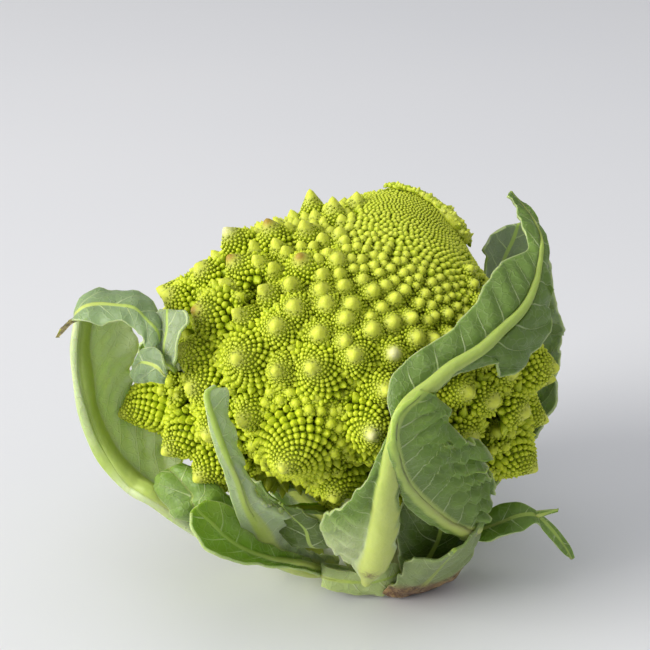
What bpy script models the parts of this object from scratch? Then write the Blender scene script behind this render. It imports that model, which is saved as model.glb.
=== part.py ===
"""Romanesco head, cut and resting on its stem, with its wrapper leaves. Metres, Z up, the front faces -Y.

The head is an ellipsoid of florets round a fleshy core. Places on it are given as (bearing, elevation,
reach): bearing in degrees from the front, positive to the right, elevation in degrees above the head's
middle, and reach as a share of the head's half sizes, so 1 is the florets' outer surface.
"""

import math
from collections import namedtuple

import bmesh
import bpy
from mathutils import Vector

HEAD_CENTRE = Vector((-0.017, 0.0, 0.088))
HEAD_HALF = Vector((0.080, 0.074, 0.061))
APEX = (90, 64, 1.07)  # the growing tip, which leans to the right
GAP = 0.0003  # between pieces that touch

CORE_REACH = 0.44  # the fleshy core, as a share of the head
FLORET_ROOT_REACH = 0.46
STALK_RADIUS = 0.0165
STALK_FACE_RADIUS = 0.0172
STALK_HEIGHT = 0.064  # where the stalk meets the core
CROWN_FLOOR = 0.020  # height of the crown's flat underside above the head's centre, along the apex axis
CROWN_AXIS = (60, 80)  # bearing and elevation of the crown's middle
CROWN_HALF_ANGLE = 55
CROWN_OVERLAP = 14  # degrees by which the crown's blank is wider, before the florets trim it
CROWN_RISE = 0.07  # how far the growing tip stands above the ellipsoid
CROWN_RISE_WIDTH = 26  # degrees over which it rises

FLORET_SIZE_NEAR_TIP = 0.0034  # a floret's width at SIZE_DISTANCE from the growing tip
SIZE_DISTANCE = 0.031
SIZE_POWER = 1.75
SMALLEST_FLORET = 0.024  # narrower ones belong to the crown
LARGEST_FLORET = 0.038
LOWEST_FLORET = -50  # degrees: the stem and the leaf bases are below
FLORET_PACKING = 0.96  # share of the mean width that neighbours keep between their tips
GOLDEN_ANGLE = math.pi * (3 - math.sqrt(5))
CANDIDATES = 900  # places tried for florets all over the head

FLORET_SIDES = 12
FLORET_PROFILE = ((0.0, 0.10), (0.45, 0.54), (1.35, 1.16))  # below the tip and radius, in half widths
FLORET_FOOT_SPREAD = 1.22  # the foot's radius in half widths, before it narrows towards the core
CROWN_REACH = 0.985
CROWN_RINGS = 11
CROWN_SPOKES = 28
STEM_SIDES = 24
STALK_RINGS = (0.004, 0.018, 0.032, 0.048)  # heights
CORE_RINGS = (-0.90, -0.72, -0.45, -0.15, 0.15, 0.45, 0.70, 0.85)  # shares of the core's half height
LEAF_STEPS = 2  # rows to each stretch between a leaf's stations
LEAF_SHOULDER = 0.55  # where the blade meets the thicker midrib, as a share of the way in from the margin
LEAF_SHOULDER_SWELL = 1.2  # its thickness there, in blade thicknesses
MERGE_DISTANCE = 0.0001
FLAT_ANGLE = math.radians(1)  # hull faces that turn less than this are joined
SHARP_ANGLE = math.radians(50)

Floret = namedtuple("Floret", "direction reach width")
Leaf = namedtuple("Leaf", "name colour base rib stations")
Base = namedtuple("Base", "azimuth height distance half_width")
Rib = namedtuple("Rib", "at_base at_tip blade")

# The florets that stand out at the front and the sides: (bearing, elevation, reach, width).
LEADING_FLORETS = (
    (-74, -14, 1.10, 0.037),
    (-50, 32, 1.02, 0.023),
    (-29, 21, 1.02, 0.025),
    (-9, 21, 1.00, 0.021),
    (-14, -8, 1.06, 0.037),
    (6, 1, 1.00, 0.026),
    (5, -24, 0.99, 0.023),
    (62, 8, 1.07, 0.028),
    (60, -27, 1.12, 0.027),
    (41, 2, 1.00, 0.025),
    (22, 9, 1.00, 0.022),
    (26, -16, 0.99, 0.024),
    (-43, 7, 1.00, 0.021),
    (-41, -19, 0.99, 0.026),
    (-70, 30, 1.00, 0.021),
)

GREEN_LIGHT = (0.36, 0.47, 0.05)
GREEN_CROWN = (0.42, 0.50, 0.06)
GREEN_STEM = (0.47, 0.52, 0.20)
LEAF_BLUE = (0.13, 0.22, 0.10)
LEAF_FRESH = (0.16, 0.28, 0.05)
LEAF_PALE = (0.38, 0.44, 0.20)
LEAF_DARK = (0.06, 0.12, 0.03)

# Each station of a leaf is its midrib, its left margin and its right margin, seen from outside.
LEAVES = (
    Leaf("leaf_front", LEAF_BLUE, Base(6, -0.002, 0.0245, 0.0065), Rib(0.0085, 0.0022, 0.0016), (
        ((9, -36, 1.11), (-4, -41, 1.10), (14, -37, 1.10)),
        ((9, -8, 1.18), (1, -14, 1.11), (12, -9, 1.15)),
        ((10, 9, 1.18), (7, 12, 1.12), (13, 7, 1.15)),
        ((18, 17, 1.17), (14, 25, 1.10), (23, 14, 1.12)),
        ((33, 23, 1.16), (29, 32, 1.09), (38, 14, 1.11)),
        ((51, 30, 1.16), (43, 39, 1.10), (53, 18, 1.12)),
        ((70, 38, 1.19), (61, 45, 1.11), (67, 29, 1.14)),
        ((83, 46, 1.24), (80, 51, 1.15), (84, 39, 1.19)),
        ((92, 53, 1.26), (91, 54, 1.25), (92, 51, 1.25)),
    )),
    Leaf("leaf_right_fold", LEAF_FRESH, Base(60, 0.024, 0.0215, 0.0050), Rib(0.0060, 0.0022, 0.0014), (
        ((42, -46, 1.10), (38, -50, 1.10), (47, -42, 1.10)),
        ((33, -35, 1.17), (30, -39, 1.18), (40, -31, 1.12)),
        ((22, -24, 1.24), (21, -29, 1.25), (37, -22, 1.12)),
        ((14, -12, 1.28), (13, -16, 1.27), (37, -12, 1.10)),
        ((12, -2, 1.28), (11, -5, 1.27), (34, -3, 1.10)),
        ((13, 6, 1.26), (12, 5, 1.25), (31, 5, 1.09)),
        ((18, 10, 1.22), (17, 11, 1.22), (29, 8, 1.10)),
    )),
    Leaf("leaf_left", LEAF_BLUE, Base(-88, -0.003, 0.0250, 0.0070), Rib(0.0085, 0.0025, 0.0016), (
        ((-62, -58, 1.22), (-55, -61, 1.25), (-66, -54, 1.16)),
        ((-58, -36, 1.28), (-53, -38, 1.30), (-56, -28, 1.16)),
        ((-67, -22, 1.32), (-63, -22, 1.36), (-74, -34, 1.18)),
        ((-73, -8, 1.31), (-70, -7, 1.35), (-102, -20, 1.18)),
        ((-78, 5, 1.29), (-75, 6, 1.33), (-104, -6, 1.16)),
        ((-82, 16, 1.27), (-80, 17, 1.32), (-100, 8, 1.16)),
        ((-82, 22, 1.22), (-83, 27, 1.25), (-80, 13, 1.17)),
        ((-72, 22, 1.19), (-74, 28, 1.20), (-70, 16, 1.17)),
        ((-64, 20, 1.17), (-65, 23, 1.17), (-63, 17, 1.16)),
    )),
    Leaf("leaf_left_back", LEAF_BLUE, Base(-112, 0.026, 0.0215, 0.0050), Rib(0.0050, 0.0018, 0.0014), (
        ((-110, -50, 1.10), (-118, -50, 1.10), (-102, -48, 1.10)),
        ((-110, -22, 1.09), (-120, -24, 1.09), (-101, -18, 1.09)),
        ((-104, 4, 1.09), (-116, 8, 1.09), (-93, 2, 1.09)),
        ((-84, 18, 1.09), (-90, 28, 1.09), (-80, 8, 1.10)),
        ((-66, 21, 1.09), (-68, 30, 1.09), (-62, 11, 1.10)),
        ((-49, 20, 1.09), (-48, 29, 1.09), (-46, 12, 1.10)),
    )),
    Leaf("leaf_front_left", LEAF_BLUE, Base(-42, 0.018, 0.0220, 0.0050), Rib(0.0060, 0.0020, 0.0014), (
        ((-24, -42, 1.13), (-28, -43, 1.14), (-18, -40, 1.10)),
        ((-24, -19, 1.17), (-27, -21, 1.16), (-19, -22, 1.12)),
        ((-26, -8, 1.17), (-29, -9, 1.16), (-22, -11, 1.12)),
        ((-29, 2, 1.15), (-32, 1, 1.14), (-24, 0, 1.11)),
        ((-32, 9, 1.13), (-34, 9, 1.13), (-27, 9, 1.11)),
        ((-31, 14, 1.11), (-32, 14, 1.11), (-30, 14, 1.11)),
    )),
    Leaf("leaf_low_left", LEAF_FRESH, Base(-68, 0.026, 0.0210, 0.0050), Rib(0.0040, 0.0016, 0.0014), (
        ((-42, -48, 1.10), (-46, -50, 1.13), (-37, -43, 1.10)),
        ((-40, -30, 1.14), (-43, -34, 1.20), (-36, -24, 1.11)),
        ((-43, -22, 1.15), (-46, -26, 1.19), (-40, -17, 1.11)),
        ((-50, -20, 1.15), (-51, -23, 1.17), (-48, -17, 1.12)),
    )),
    Leaf("leaf_rolled", LEAF_FRESH, Base(-58, -0.003, 0.0260, 0.0060), Rib(0.0060, 0.0020, 0.0014), (
        ((-19, -54, 1.27), (-24, -58, 1.36), (-14, -48, 1.20)),
        ((-22, -38, 1.29), (-30, -47, 1.38), (-19, -31, 1.24)),
        ((-27, -28, 1.30), (-36, -40, 1.37), (-22, -23, 1.26)),
        ((-32, -22, 1.27), (-39, -29, 1.31), (-28, -18, 1.23)),
    )),
    Leaf("leaf_inner", LEAF_PALE, Base(-12, 0.024, 0.0205, 0.0040), Rib(0.0035, 0.0016, 0.0014), (
        ((-8, -48, 1.05), (-13, -48, 1.06), (-3, -48, 1.05)),
        ((-10, -33, 1.13), (-16, -33, 1.13), (-5, -31, 1.13)),
        ((-14, -27, 1.15), (-18, -27, 1.15), (-9, -25, 1.15)),
    )),
    Leaf("leaf_low_pale", LEAF_PALE, Base(-24, -0.001, 0.0255, 0.0040), Rib(0.0060, 0.0020, 0.0016), (
        ((-5, -66, 1.33), (2, -63, 1.28), (-16, -67, 1.36)),
        ((5, -59, 1.35), (8, -53, 1.29), (-5, -63, 1.41)),
        ((12, -55, 1.35), (14, -51, 1.31), (6, -60, 1.41)),
    )),
    Leaf("leaf_trimmed", LEAF_DARK, Base(46, -0.002, 0.0270, 0.0130), Rib(0.0070, 0.0020, 0.0016), (
        ((38, -63, 1.38), (24, -66, 1.42), (58, -60, 1.36)),
        ((41, -54, 1.34), (24, -61, 1.40), (58, -51, 1.31)),
        ((44, -44, 1.29), (28, -54, 1.34), (57, -42, 1.27)),
        ((47, -34, 1.23), (40, -42, 1.27), (54, -33, 1.22)),
    )),
    Leaf("leaf_right_low", LEAF_FRESH, Base(86, 0.014, 0.0215, 0.0050), Rib(0.0045, 0.0016, 0.0014), (
        ((68, -58, 1.14), (62, -53, 1.10), (74, -62, 1.20)),
        ((66, -47, 1.24), (62, -43, 1.19), (69, -52, 1.32)),
        ((69, -44, 1.36), (67, -40, 1.31), (70, -48, 1.41)),
        ((73, -47, 1.53), (72, -46, 1.52), (74, -48, 1.54)),
    )),
    Leaf("leaf_crest_back", LEAF_DARK, Base(150, 0.020, 0.0220, 0.0060), Rib(0.0065, 0.0020, 0.0016), (
        ((150, -50, 1.12), (141, -50, 1.12), (158, -50, 1.12)),
        ((150, -26, 1.11), (136, -24, 1.11), (164, -27, 1.11)),
        ((149, -2, 1.10), (134, 0, 1.10), (166, -2, 1.10)),
        ((146, 21, 1.10), (134, 22, 1.10), (160, 20, 1.10)),
        ((142, 38, 1.11), (138, 38, 1.11), (147, 38, 1.11)),
    )),
    Leaf("leaf_right_back", LEAF_BLUE, Base(118, -0.003, 0.0245, 0.0070), Rib(0.0075, 0.0022, 0.0016), (
        ((112, -52, 1.20), (102, -52, 1.20), (122, -52, 1.20)),
        ((114, -28, 1.18), (98, -26, 1.18), (130, -28, 1.18)),
        ((116, -6, 1.18), (98, -4, 1.18), (134, -6, 1.18)),
        ((117, 14, 1.18), (99, 14, 1.18), (134, 16, 1.18)),
        ((117, 32, 1.20), (106, 31, 1.20), (128, 33, 1.18)),
        ((114, 42, 1.24), (112, 41, 1.24), (116, 42, 1.23)),
    )),
    Leaf("leaf_back_left", LEAF_BLUE, Base(-136, -0.003, 0.0250, 0.0075), Rib(0.0080, 0.0022, 0.0016), (
        ((-136, -55, 1.22), (-148, -55, 1.22), (-124, -55, 1.22)),
        ((-137, -32, 1.20), (-156, -32, 1.22), (-117, -32, 1.22)),
        ((-138, -8, 1.18), (-160, -8, 1.20), (-114, -8, 1.22)),
        ((-139, 14, 1.18), (-160, 14, 1.20), (-118, 12, 1.21)),
        ((-140, 30, 1.21), (-154, 30, 1.22), (-128, 29, 1.22)),
        ((-141, 38, 1.25), (-145, 38, 1.25), (-138, 38, 1.25)),
    )),
    Leaf("leaf_back_right", LEAF_BLUE, Base(176, -0.003, 0.0250, 0.0075), Rib(0.0080, 0.0022, 0.0016), (
        ((178, -57, 1.22), (169, -57, 1.22), (187, -57, 1.22)),
        ((178, -36, 1.18), (164, -36, 1.19), (194, -36, 1.18)),
        ((178, -14, 1.16), (163, -14, 1.18), (195, -14, 1.18)),
        ((178, 6, 1.18), (165, 6, 1.20), (190, 6, 1.19)),
        ((178, 16, 1.22), (174, 16, 1.22), (182, 16, 1.22)),
    )),
)


def direction(bearing, elevation):
    """The unit direction of a bearing and an elevation in degrees."""
    turn = math.radians(bearing)
    rise = math.radians(elevation)
    return Vector((math.sin(turn) * math.cos(rise), -math.cos(turn) * math.cos(rise), math.sin(rise)))


def scaled(unit, reach):
    """The point on the head's ellipsoid, enlarged by reach, that lies in a unit direction."""
    return HEAD_CENTRE + Vector(half * part * reach for half, part in zip(HEAD_HALF, unit))


def place(bearing, elevation, reach):
    return scaled(direction(bearing, elevation), reach)


def smooth(points, steps):
    """Points read from a Catmull-Rom curve through the given ones, with steps points to each stretch."""
    ends = [2 * points[0] - points[1], *points, 2 * points[-1] - points[-2]]
    found = []
    for before, start, end, after in zip(ends, ends[1:], ends[2:], ends[3:]):
        for step in range(steps):
            t = step / steps
            found.append(0.5 * (
                2 * start
                + (end - before) * t
                + (2 * before - 5 * start + 4 * end - after) * t**2
                + (3 * start - before - 3 * end + after) * t**3
            ))
    return [*found, points[-1]]


def make_material(name, colour, roughness=0.55):
    material = bpy.data.materials.new(name)
    material.use_nodes = True
    shader = material.node_tree.nodes["Principled BSDF"]
    shader.inputs["Base Color"].default_value = (*colour, 1)
    shader.inputs["Roughness"].default_value = roughness
    shader.inputs["Metallic"].default_value = 0
    return material


def finish_object(name, shape, material):
    """Turns a bmesh into an object with smooth shading, and frees the bmesh."""
    mesh = bpy.data.meshes.new(name)
    shape.to_mesh(mesh)
    shape.free()
    mesh.shade_smooth()
    mesh.set_sharp_from_angle(angle=SHARP_ANGLE)
    mesh.materials.append(material)
    piece = bpy.data.objects.new(name, mesh)
    bpy.context.scene.collection.objects.link(piece)
    return piece


def keep_side(shape, point, normal):
    """Cuts a bmesh by a plane and keeps the side that the normal points away from."""
    bmesh.ops.bisect_plane(
        shape,
        geom=[*shape.verts, *shape.edges, *shape.faces],
        plane_co=point,
        plane_no=normal,
        clear_outer=True,
    )


def hull_of(shape):
    """A new bmesh that is the convex hull of another one's points, with its flat faces joined."""
    hull = bmesh.new()
    for vert in shape.verts:
        hull.verts.new(vert.co)
    shape.free()
    bmesh.ops.remove_doubles(hull, verts=hull.verts[:], dist=MERGE_DISTANCE)
    found = bmesh.ops.convex_hull(hull, input=hull.verts[:])
    inside = [item for item in found["geom_interior"] if isinstance(item, bmesh.types.BMVert)]
    bmesh.ops.delete(hull, geom=inside, context="VERTS")
    bmesh.ops.dissolve_limit(hull, angle_limit=FLAT_ANGLE, verts=hull.verts[:], edges=hull.edges[:])
    bmesh.ops.triangulate(hull, faces=hull.faces[:])
    bmesh.ops.recalc_face_normals(hull, faces=hull.faces[:])
    return hull


def ring_points(centre, axis, radius, count):
    """Points of a circle round an axis."""
    side = axis.orthogonal().normalized()
    up = axis.cross(side).normalized()
    angles = [2 * math.pi * step / count for step in range(count)]
    return [centre + radius * (math.cos(angle) * side + math.sin(angle) * up) for angle in angles]


def distance_from_tip(point):
    return (point - place(*APEX)).length


def natural_width(point):
    """A floret's width, which grows with its distance from the growing tip."""
    return FLORET_SIZE_NEAR_TIP * (distance_from_tip(point) / SIZE_DISTANCE) ** SIZE_POWER


def spread(first, second):
    """Distance between two florets' middles on the head."""
    return (scaled(first.direction, 1) - scaled(second.direction, 1)).length


def all_florets():
    """The leading florets, then a golden-angle spiral of candidates that fills the room between them."""
    florets = [Floret(direction(b, e), reach, width) for b, e, reach, width in LEADING_FLORETS]
    axis = direction(*CROWN_AXIS)
    side = axis.orthogonal().normalized()
    up = axis.cross(side)
    for step in range(CANDIDATES):
        height = 1 - 2 * (step + 0.5) / CANDIDATES
        turn = step * GOLDEN_ANGLE
        flat = math.sqrt(1 - height**2)
        unit = axis * height + side * (flat * math.cos(turn)) + up * (flat * math.sin(turn))
        width = min(max(natural_width(scaled(unit, 1)), SMALLEST_FLORET), LARGEST_FLORET)
        crown_edge = math.radians(CROWN_HALF_ANGLE) + width / 2 / HEAD_HALF.x
        if unit.angle(axis) < crown_edge or math.degrees(math.asin(unit.z)) < LOWEST_FLORET:
            continue
        candidate = Floret(unit, 1.0, width)
        room = [spread(candidate, other) - FLORET_PACKING * (width + other.width) / 2 for other in florets]
        if min(room) >= 0:
            florets.append(candidate)
    return florets


def mid_plane(first, second):
    """The normal of the plane through the head's centre that parts two florets, pointing to the second."""
    share = first.width / (first.width + second.width)
    border = scaled(first.direction.slerp(second.direction, share), 1) - HEAD_CENTRE
    across = scaled(second.direction, 1) - scaled(first.direction, 1)
    return (across - across.project(border)).normalized()


def crown_plane(floret):
    """The normal of the plane through the head's centre between a floret and the crown, pointing to it."""
    out = scaled(floret.direction, 1) - HEAD_CENTRE
    to_crown = scaled(direction(*CROWN_AXIS), 1) - HEAD_CENTRE
    edge = out + (to_crown - to_crown.project(out)).normalized() * floret.width / 2
    return (to_crown.project(edge) - to_crown).normalized()


def core_axis():
    """The direction from the head's centre to the middle of the crown."""
    return (scaled(direction(*CROWN_AXIS), 1) - HEAD_CENTRE).normalized()


def build_floret(name, floret, florets, material):
    """A blunt cone on a tapering foot, cut halfway to each neighbour."""
    tip = scaled(floret.direction, floret.reach)
    axis = (tip - HEAD_CENTRE).normalized()
    length = (tip - HEAD_CENTRE).length
    foot = length * FLORET_ROOT_REACH / floret.reach
    half = floret.width / 2
    rings = [(length - below * half, radius * half) for below, radius in FLORET_PROFILE]
    shoulder = rings[-1][0]
    rings.append((foot, FLORET_FOOT_SPREAD * half * foot / shoulder))
    shape = bmesh.new()
    for along, radius in rings:
        for point in ring_points(HEAD_CENTRE + axis * along, axis, radius, FLORET_SIDES):
            shape.verts.new(point)
    shape = hull_of(shape)
    for other in florets:
        if other is floret or spread(floret, other) > floret.width + other.width:
            continue
        normal = mid_plane(floret, other)
        keep_side(shape, HEAD_CENTRE - normal * GAP / 2, normal)
    normal = -crown_plane(floret)
    keep_side(shape, HEAD_CENTRE - normal * GAP / 2, normal)
    return finish_object(name, hull_of(shape), material)


def build_crown(florets, material):
    """The cap of small florets, which rises to the growing tip and is cut where the big florets begin."""
    axis = core_axis()
    middle = direction(*CROWN_AXIS)
    tip = direction(APEX[0], APEX[1])
    side = middle.orthogonal().normalized()
    up = middle.cross(side)
    shape = bmesh.new()
    for ring in range(CROWN_RINGS + 1):
        lean = math.radians(CROWN_HALF_ANGLE + CROWN_OVERLAP) * ring / CROWN_RINGS
        for spoke in range(CROWN_SPOKES if ring else 1):
            turn = 2 * math.pi * spoke / CROWN_SPOKES
            unit = middle * math.cos(lean) + (side * math.cos(turn) + up * math.sin(turn)) * math.sin(lean)
            rise = CROWN_RISE * math.exp(-((math.degrees(unit.angle(tip)) / CROWN_RISE_WIDTH) ** 2))
            shape.verts.new(scaled(unit, CROWN_REACH + rise))
            if ring == CROWN_RINGS:
                shape.verts.new(scaled(unit, CORE_REACH))
    shape = hull_of(shape)
    keep_side(shape, HEAD_CENTRE + axis * CROWN_FLOOR, -axis)
    shape = hull_of(shape)
    for floret in florets:
        normal = crown_plane(floret)
        keep_side(shape, HEAD_CENTRE - normal * GAP / 2, normal)
    return finish_object("crown", hull_of(shape), material)


def stalk_centre(height):
    """The middle of the stalk at a height: it leans from under the growing tip towards the head's centre."""
    return Vector((HEAD_CENTRE.x * (max(height, 0) / STALK_HEIGHT) ** 1.5, 0, height))


def build_stem(material):
    """The cut stalk, which swells into the core. The core's flat top carries the crown."""
    core = HEAD_HALF * CORE_REACH
    rings = [(stalk_centre(0), STALK_FACE_RADIUS, STALK_FACE_RADIUS)]
    rings += [(stalk_centre(height), STALK_RADIUS, STALK_RADIUS) for height in STALK_RINGS]
    for share in CORE_RINGS:
        flat = math.sqrt(1 - share**2)
        centre = HEAD_CENTRE + Vector((0, 0, core.z * share))
        rings.append((centre, max(core.x * flat, STALK_RADIUS), max(core.y * flat, STALK_RADIUS)))
    shape = bmesh.new()
    loops = []
    for centre, half_x, half_y in rings:
        angles = [2 * math.pi * step / STEM_SIDES for step in range(STEM_SIDES)]
        loop = [
            shape.verts.new(centre + Vector((half_x * math.cos(a), half_y * math.sin(a), 0))) for a in angles
        ]
        loops.append(loop)
    for low, high in zip(loops, loops[1:]):
        for step in range(STEM_SIDES):
            shape.faces.new((low[step - 1], low[step], high[step], high[step - 1]))
    shape.faces.new(loops[0][::-1])
    shape.faces.new(loops[-1])
    axis = core_axis()
    keep_side(shape, HEAD_CENTRE + axis * (CROWN_FLOOR - GAP), axis)
    bmesh.ops.holes_fill(shape, edges=[edge for edge in shape.edges if edge.is_boundary])
    bmesh.ops.recalc_face_normals(shape, faces=shape.faces[:])
    return finish_object("stem", shape, material)


def base_row(base):
    """The midrib and margins of a leaf where it leaves the stem."""
    turn = math.radians(base.azimuth)
    out = Vector((math.sin(turn), -math.cos(turn), 0))
    along = Vector((math.cos(turn), math.sin(turn), 0))
    middle = stalk_centre(base.height) + out * base.distance
    return middle, middle - along * base.half_width, middle + along * base.half_width


def build_leaf(leaf, material):
    """A closed sheet through the leaf's stations, thick along the midrib and thin at the margins."""
    rows = [base_row(leaf.base)]
    rows += [tuple(place(*spot) for spot in station) for station in leaf.stations]
    middle, left, right = (smooth([row[column] for row in rows], LEAF_STEPS) for column in range(3))
    count = len(middle)
    grid = []
    for row in range(count):
        rib, low, high = middle[row], left[row], right[row]
        grid.append([low, low.lerp(rib, LEAF_SHOULDER), rib, high.lerp(rib, LEAF_SHOULDER), high])
    shape = bmesh.new()
    outer, inner = [], []
    for row in range(count):
        share = row / (count - 1)
        rib_thickness = leaf.rib.at_base + (leaf.rib.at_tip - leaf.rib.at_base) * share
        ahead = middle[min(row + 1, count - 1)] - middle[max(row - 1, 0)]
        normal = (grid[row][-1] - grid[row][0]).cross(ahead).normalized()
        shoulder = leaf.rib.blade * LEAF_SHOULDER_SWELL
        thicknesses = (leaf.rib.blade, shoulder, rib_thickness, shoulder, leaf.rib.blade)
        outer.append([shape.verts.new(p + normal * t / 2) for p, t in zip(grid[row], thicknesses)])
        inner.append([shape.verts.new(p - normal * t / 2) for p, t in zip(grid[row], thicknesses)])
    columns = len(outer[0])
    for row in range(count - 1):
        for column in range(columns - 1):
            corners = ((row, column), (row, column + 1), (row + 1, column + 1), (row + 1, column))
            shape.faces.new([outer[r][c] for r, c in corners])
            shape.faces.new([inner[r][c] for r, c in reversed(corners)])
    border = [(row, 0) for row in range(count)]
    border += [(count - 1, column) for column in range(1, columns)]
    border += [(row, columns - 1) for row in range(count - 2, -1, -1)]
    border += [(0, column) for column in range(columns - 2, 0, -1)]
    for (row, column), (next_row, next_column) in zip(border, border[1:] + border[:1]):
        shape.faces.new((
            outer[row][column],
            outer[next_row][next_column],
            inner[next_row][next_column],
            inner[row][column],
        ))
    if leaf.base.height < 0:
        keep_side(shape, Vector(), Vector((0, 0, -1)))
        bmesh.ops.holes_fill(shape, edges=[edge for edge in shape.edges if edge.is_boundary])
        bmesh.ops.recalc_face_normals(shape, faces=shape.faces[:])
    return finish_object(leaf.name, shape, material)


def main():
    for item in list(bpy.data.objects):
        bpy.data.objects.remove(item)
    florets = all_florets()
    build_stem(make_material("stem_flesh", GREEN_STEM))
    build_crown(florets, make_material("crown_curd", GREEN_CROWN))
    for number, floret in enumerate(florets, 1):
        name = f"floret_{number:02d}"
        build_floret(name, floret, florets, make_material(f"{name}_curd", GREEN_LIGHT))
    for leaf in LEAVES:
        build_leaf(leaf, make_material(f"{leaf.name}_blade", leaf.colour))


main()
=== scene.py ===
"""The looks of a romanesco head that rests on its cut stem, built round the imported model.

The head is an ellipsoid of curd. A place on it is a bearing (degrees from the front, positive to the right),
an elevation (degrees above the head's middle) and a reach (1 is the ellipsoid itself). Lengths are metres.

The curd is one pattern at three scales. Florets stand round the growing tip, a short crest, each turned from
the last by the golden angle. A floret carries buds in the same way, and its large outer buds carry knobs.
"""

import logging
import math
from collections.abc import Sequence
from dataclasses import dataclass, field
from enum import Enum

import bpy
import numpy as np
from mathutils.kdtree import KDTree
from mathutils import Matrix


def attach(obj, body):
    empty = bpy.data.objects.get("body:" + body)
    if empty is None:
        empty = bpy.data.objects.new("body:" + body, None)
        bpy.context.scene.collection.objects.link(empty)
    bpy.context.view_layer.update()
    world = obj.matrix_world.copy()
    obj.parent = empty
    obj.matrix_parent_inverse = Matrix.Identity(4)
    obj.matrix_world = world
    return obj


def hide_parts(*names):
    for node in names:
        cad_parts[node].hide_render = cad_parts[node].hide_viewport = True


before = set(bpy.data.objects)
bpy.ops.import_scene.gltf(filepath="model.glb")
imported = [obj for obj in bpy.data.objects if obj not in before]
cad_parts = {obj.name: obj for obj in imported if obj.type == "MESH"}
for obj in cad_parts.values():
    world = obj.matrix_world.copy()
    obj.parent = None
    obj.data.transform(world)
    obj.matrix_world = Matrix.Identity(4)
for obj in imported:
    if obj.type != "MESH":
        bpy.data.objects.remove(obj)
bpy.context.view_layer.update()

Array = np.ndarray
Colour = tuple[float, float, float, float]
LOG = logging.getLogger("romanesco")
MM = 0.001
BODY = "root"
GOLDEN_ANGLE = math.pi * (3 - math.sqrt(5))

# The ellipsoid's middle and half sizes, and the cone of it that the crown covers: bearing and elevation of
# its axis, and half its angle in degrees.
HEAD_CENTRE = np.array([-0.017, 0.0, 0.088])
HEAD_HALF = np.array([0.080, 0.074, 0.061])
CROWN_AXIS = (60, 80)
CROWN_HALF_ANGLE = 55
# The cosine of the angle from the front past which a floret faces away.
FACING_AWAY = -0.12


def unit(vectors: Array) -> Array:
    """Vectors divided by their lengths, along the last axis."""
    return vectors / np.maximum(np.linalg.norm(vectors, axis=-1, keepdims=True), 1e-12)


def direction(bearing: Array | float, elevation: Array | float) -> Array:
    """Unit directions: (sin b cos e, -cos b cos e, sin e) for bearing b and elevation e in degrees."""
    turn, rise = np.radians(bearing), np.radians(elevation)
    return np.stack([np.sin(turn) * np.cos(rise), -np.cos(turn) * np.cos(rise), np.sin(rise)], axis=-1)


FRONT = direction(0, 22)


def on_head(units: Array, reach: Array | float) -> Array:
    """Points: the head's centre plus half sizes times reach times the unit direction."""
    return HEAD_CENTRE + HEAD_HALF * units * np.asarray(reach)[..., None]


def smoothstep(values: Array | float, low: float, high: float) -> Array:
    """0 below low, 1 above high, and 3x^2 - 2x^3 between."""
    share = np.clip((np.asarray(values, float) - low) / (high - low), 0, 1)
    return share * share * (3 - 2 * share)


def wobble(places: Array, seed: int, waves: int = 5) -> Array:
    """A smooth random curve from -1 to 1: a sum of sines with random frequencies and phases.

    Args:
        places: where to read it; it changes over steps of about 1.
        seed: picks the curve.
        waves: how many sines are added.

    Returns:
        One value for each place.
    """
    rng = np.random.default_rng(seed)
    frequency = rng.uniform(0.5, 2.6, waves)
    phase = rng.uniform(0, 2 * math.pi, waves)
    weight = rng.uniform(0.5, 1, waves)
    return (np.sin(np.asarray(places)[..., None] * frequency + phase) * weight).sum(-1) / weight.sum()


def full_turn(sides: int) -> Array:
    """The angles of the corners of a regular polygon."""
    return 2 * math.pi * np.arange(sides) / sides


def around(angles: Array, across: Array, up: Array) -> Array:
    """Directions at angles round an axis: across cos a + up sin a."""
    return np.cos(angles)[:, None] * across + np.sin(angles)[:, None] * up


def nearest(points: Array, count: int) -> Array:
    """The numbers of the points nearest to each point, itself first."""
    tree = KDTree(len(points))
    for number, point in enumerate(points):
        tree.insert(point, number)
    tree.balance()
    return np.array([[hit[1] for hit in tree.find_n(point, count)] for point in points])


@dataclass(frozen=True)
class Curve:
    """A value that runs straight between the given ones, and stays level beyond the first and the last."""

    places: tuple[float, ...]
    values: tuple[float, ...]

    def read(self, place: Array | float) -> Array:
        """The value at a place."""
        return np.interp(place, self.places, self.values)


def spline(points: Array, steps: int) -> Array:
    """Points read from a Catmull-Rom curve through the given ones.

    On a stretch from p1 to p2, with neighbours p0 and p3, the point at t is half of
    2 p1 + (p2 - p0) t + (2 p0 - 5 p1 + 4 p2 - p3) t^2 + (3 p1 - p0 - 3 p2 + p3) t^3.

    Args:
        points: the curve's own points, one to a row.
        steps: how many points each stretch gets.

    Returns:
        The points, the last given one included.
    """
    ends = np.vstack([2 * points[0] - points[1], points, 2 * points[-1] - points[-2]])
    before, start, end, after = (ends[k : len(ends) - 3 + k, None] for k in range(4))
    t = (np.arange(steps) / steps)[None, :, None]
    curve = 0.5 * (
        2 * start
        + (end - before) * t
        + (2 * before - 5 * start + 4 * end - after) * t**2
        + (3 * start - before - 3 * end + after) * t**3
    )
    return np.vstack([curve.reshape(-1, points.shape[1]), points[-1]])


# ---------------------------------------------------------------------------- meshes


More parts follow.
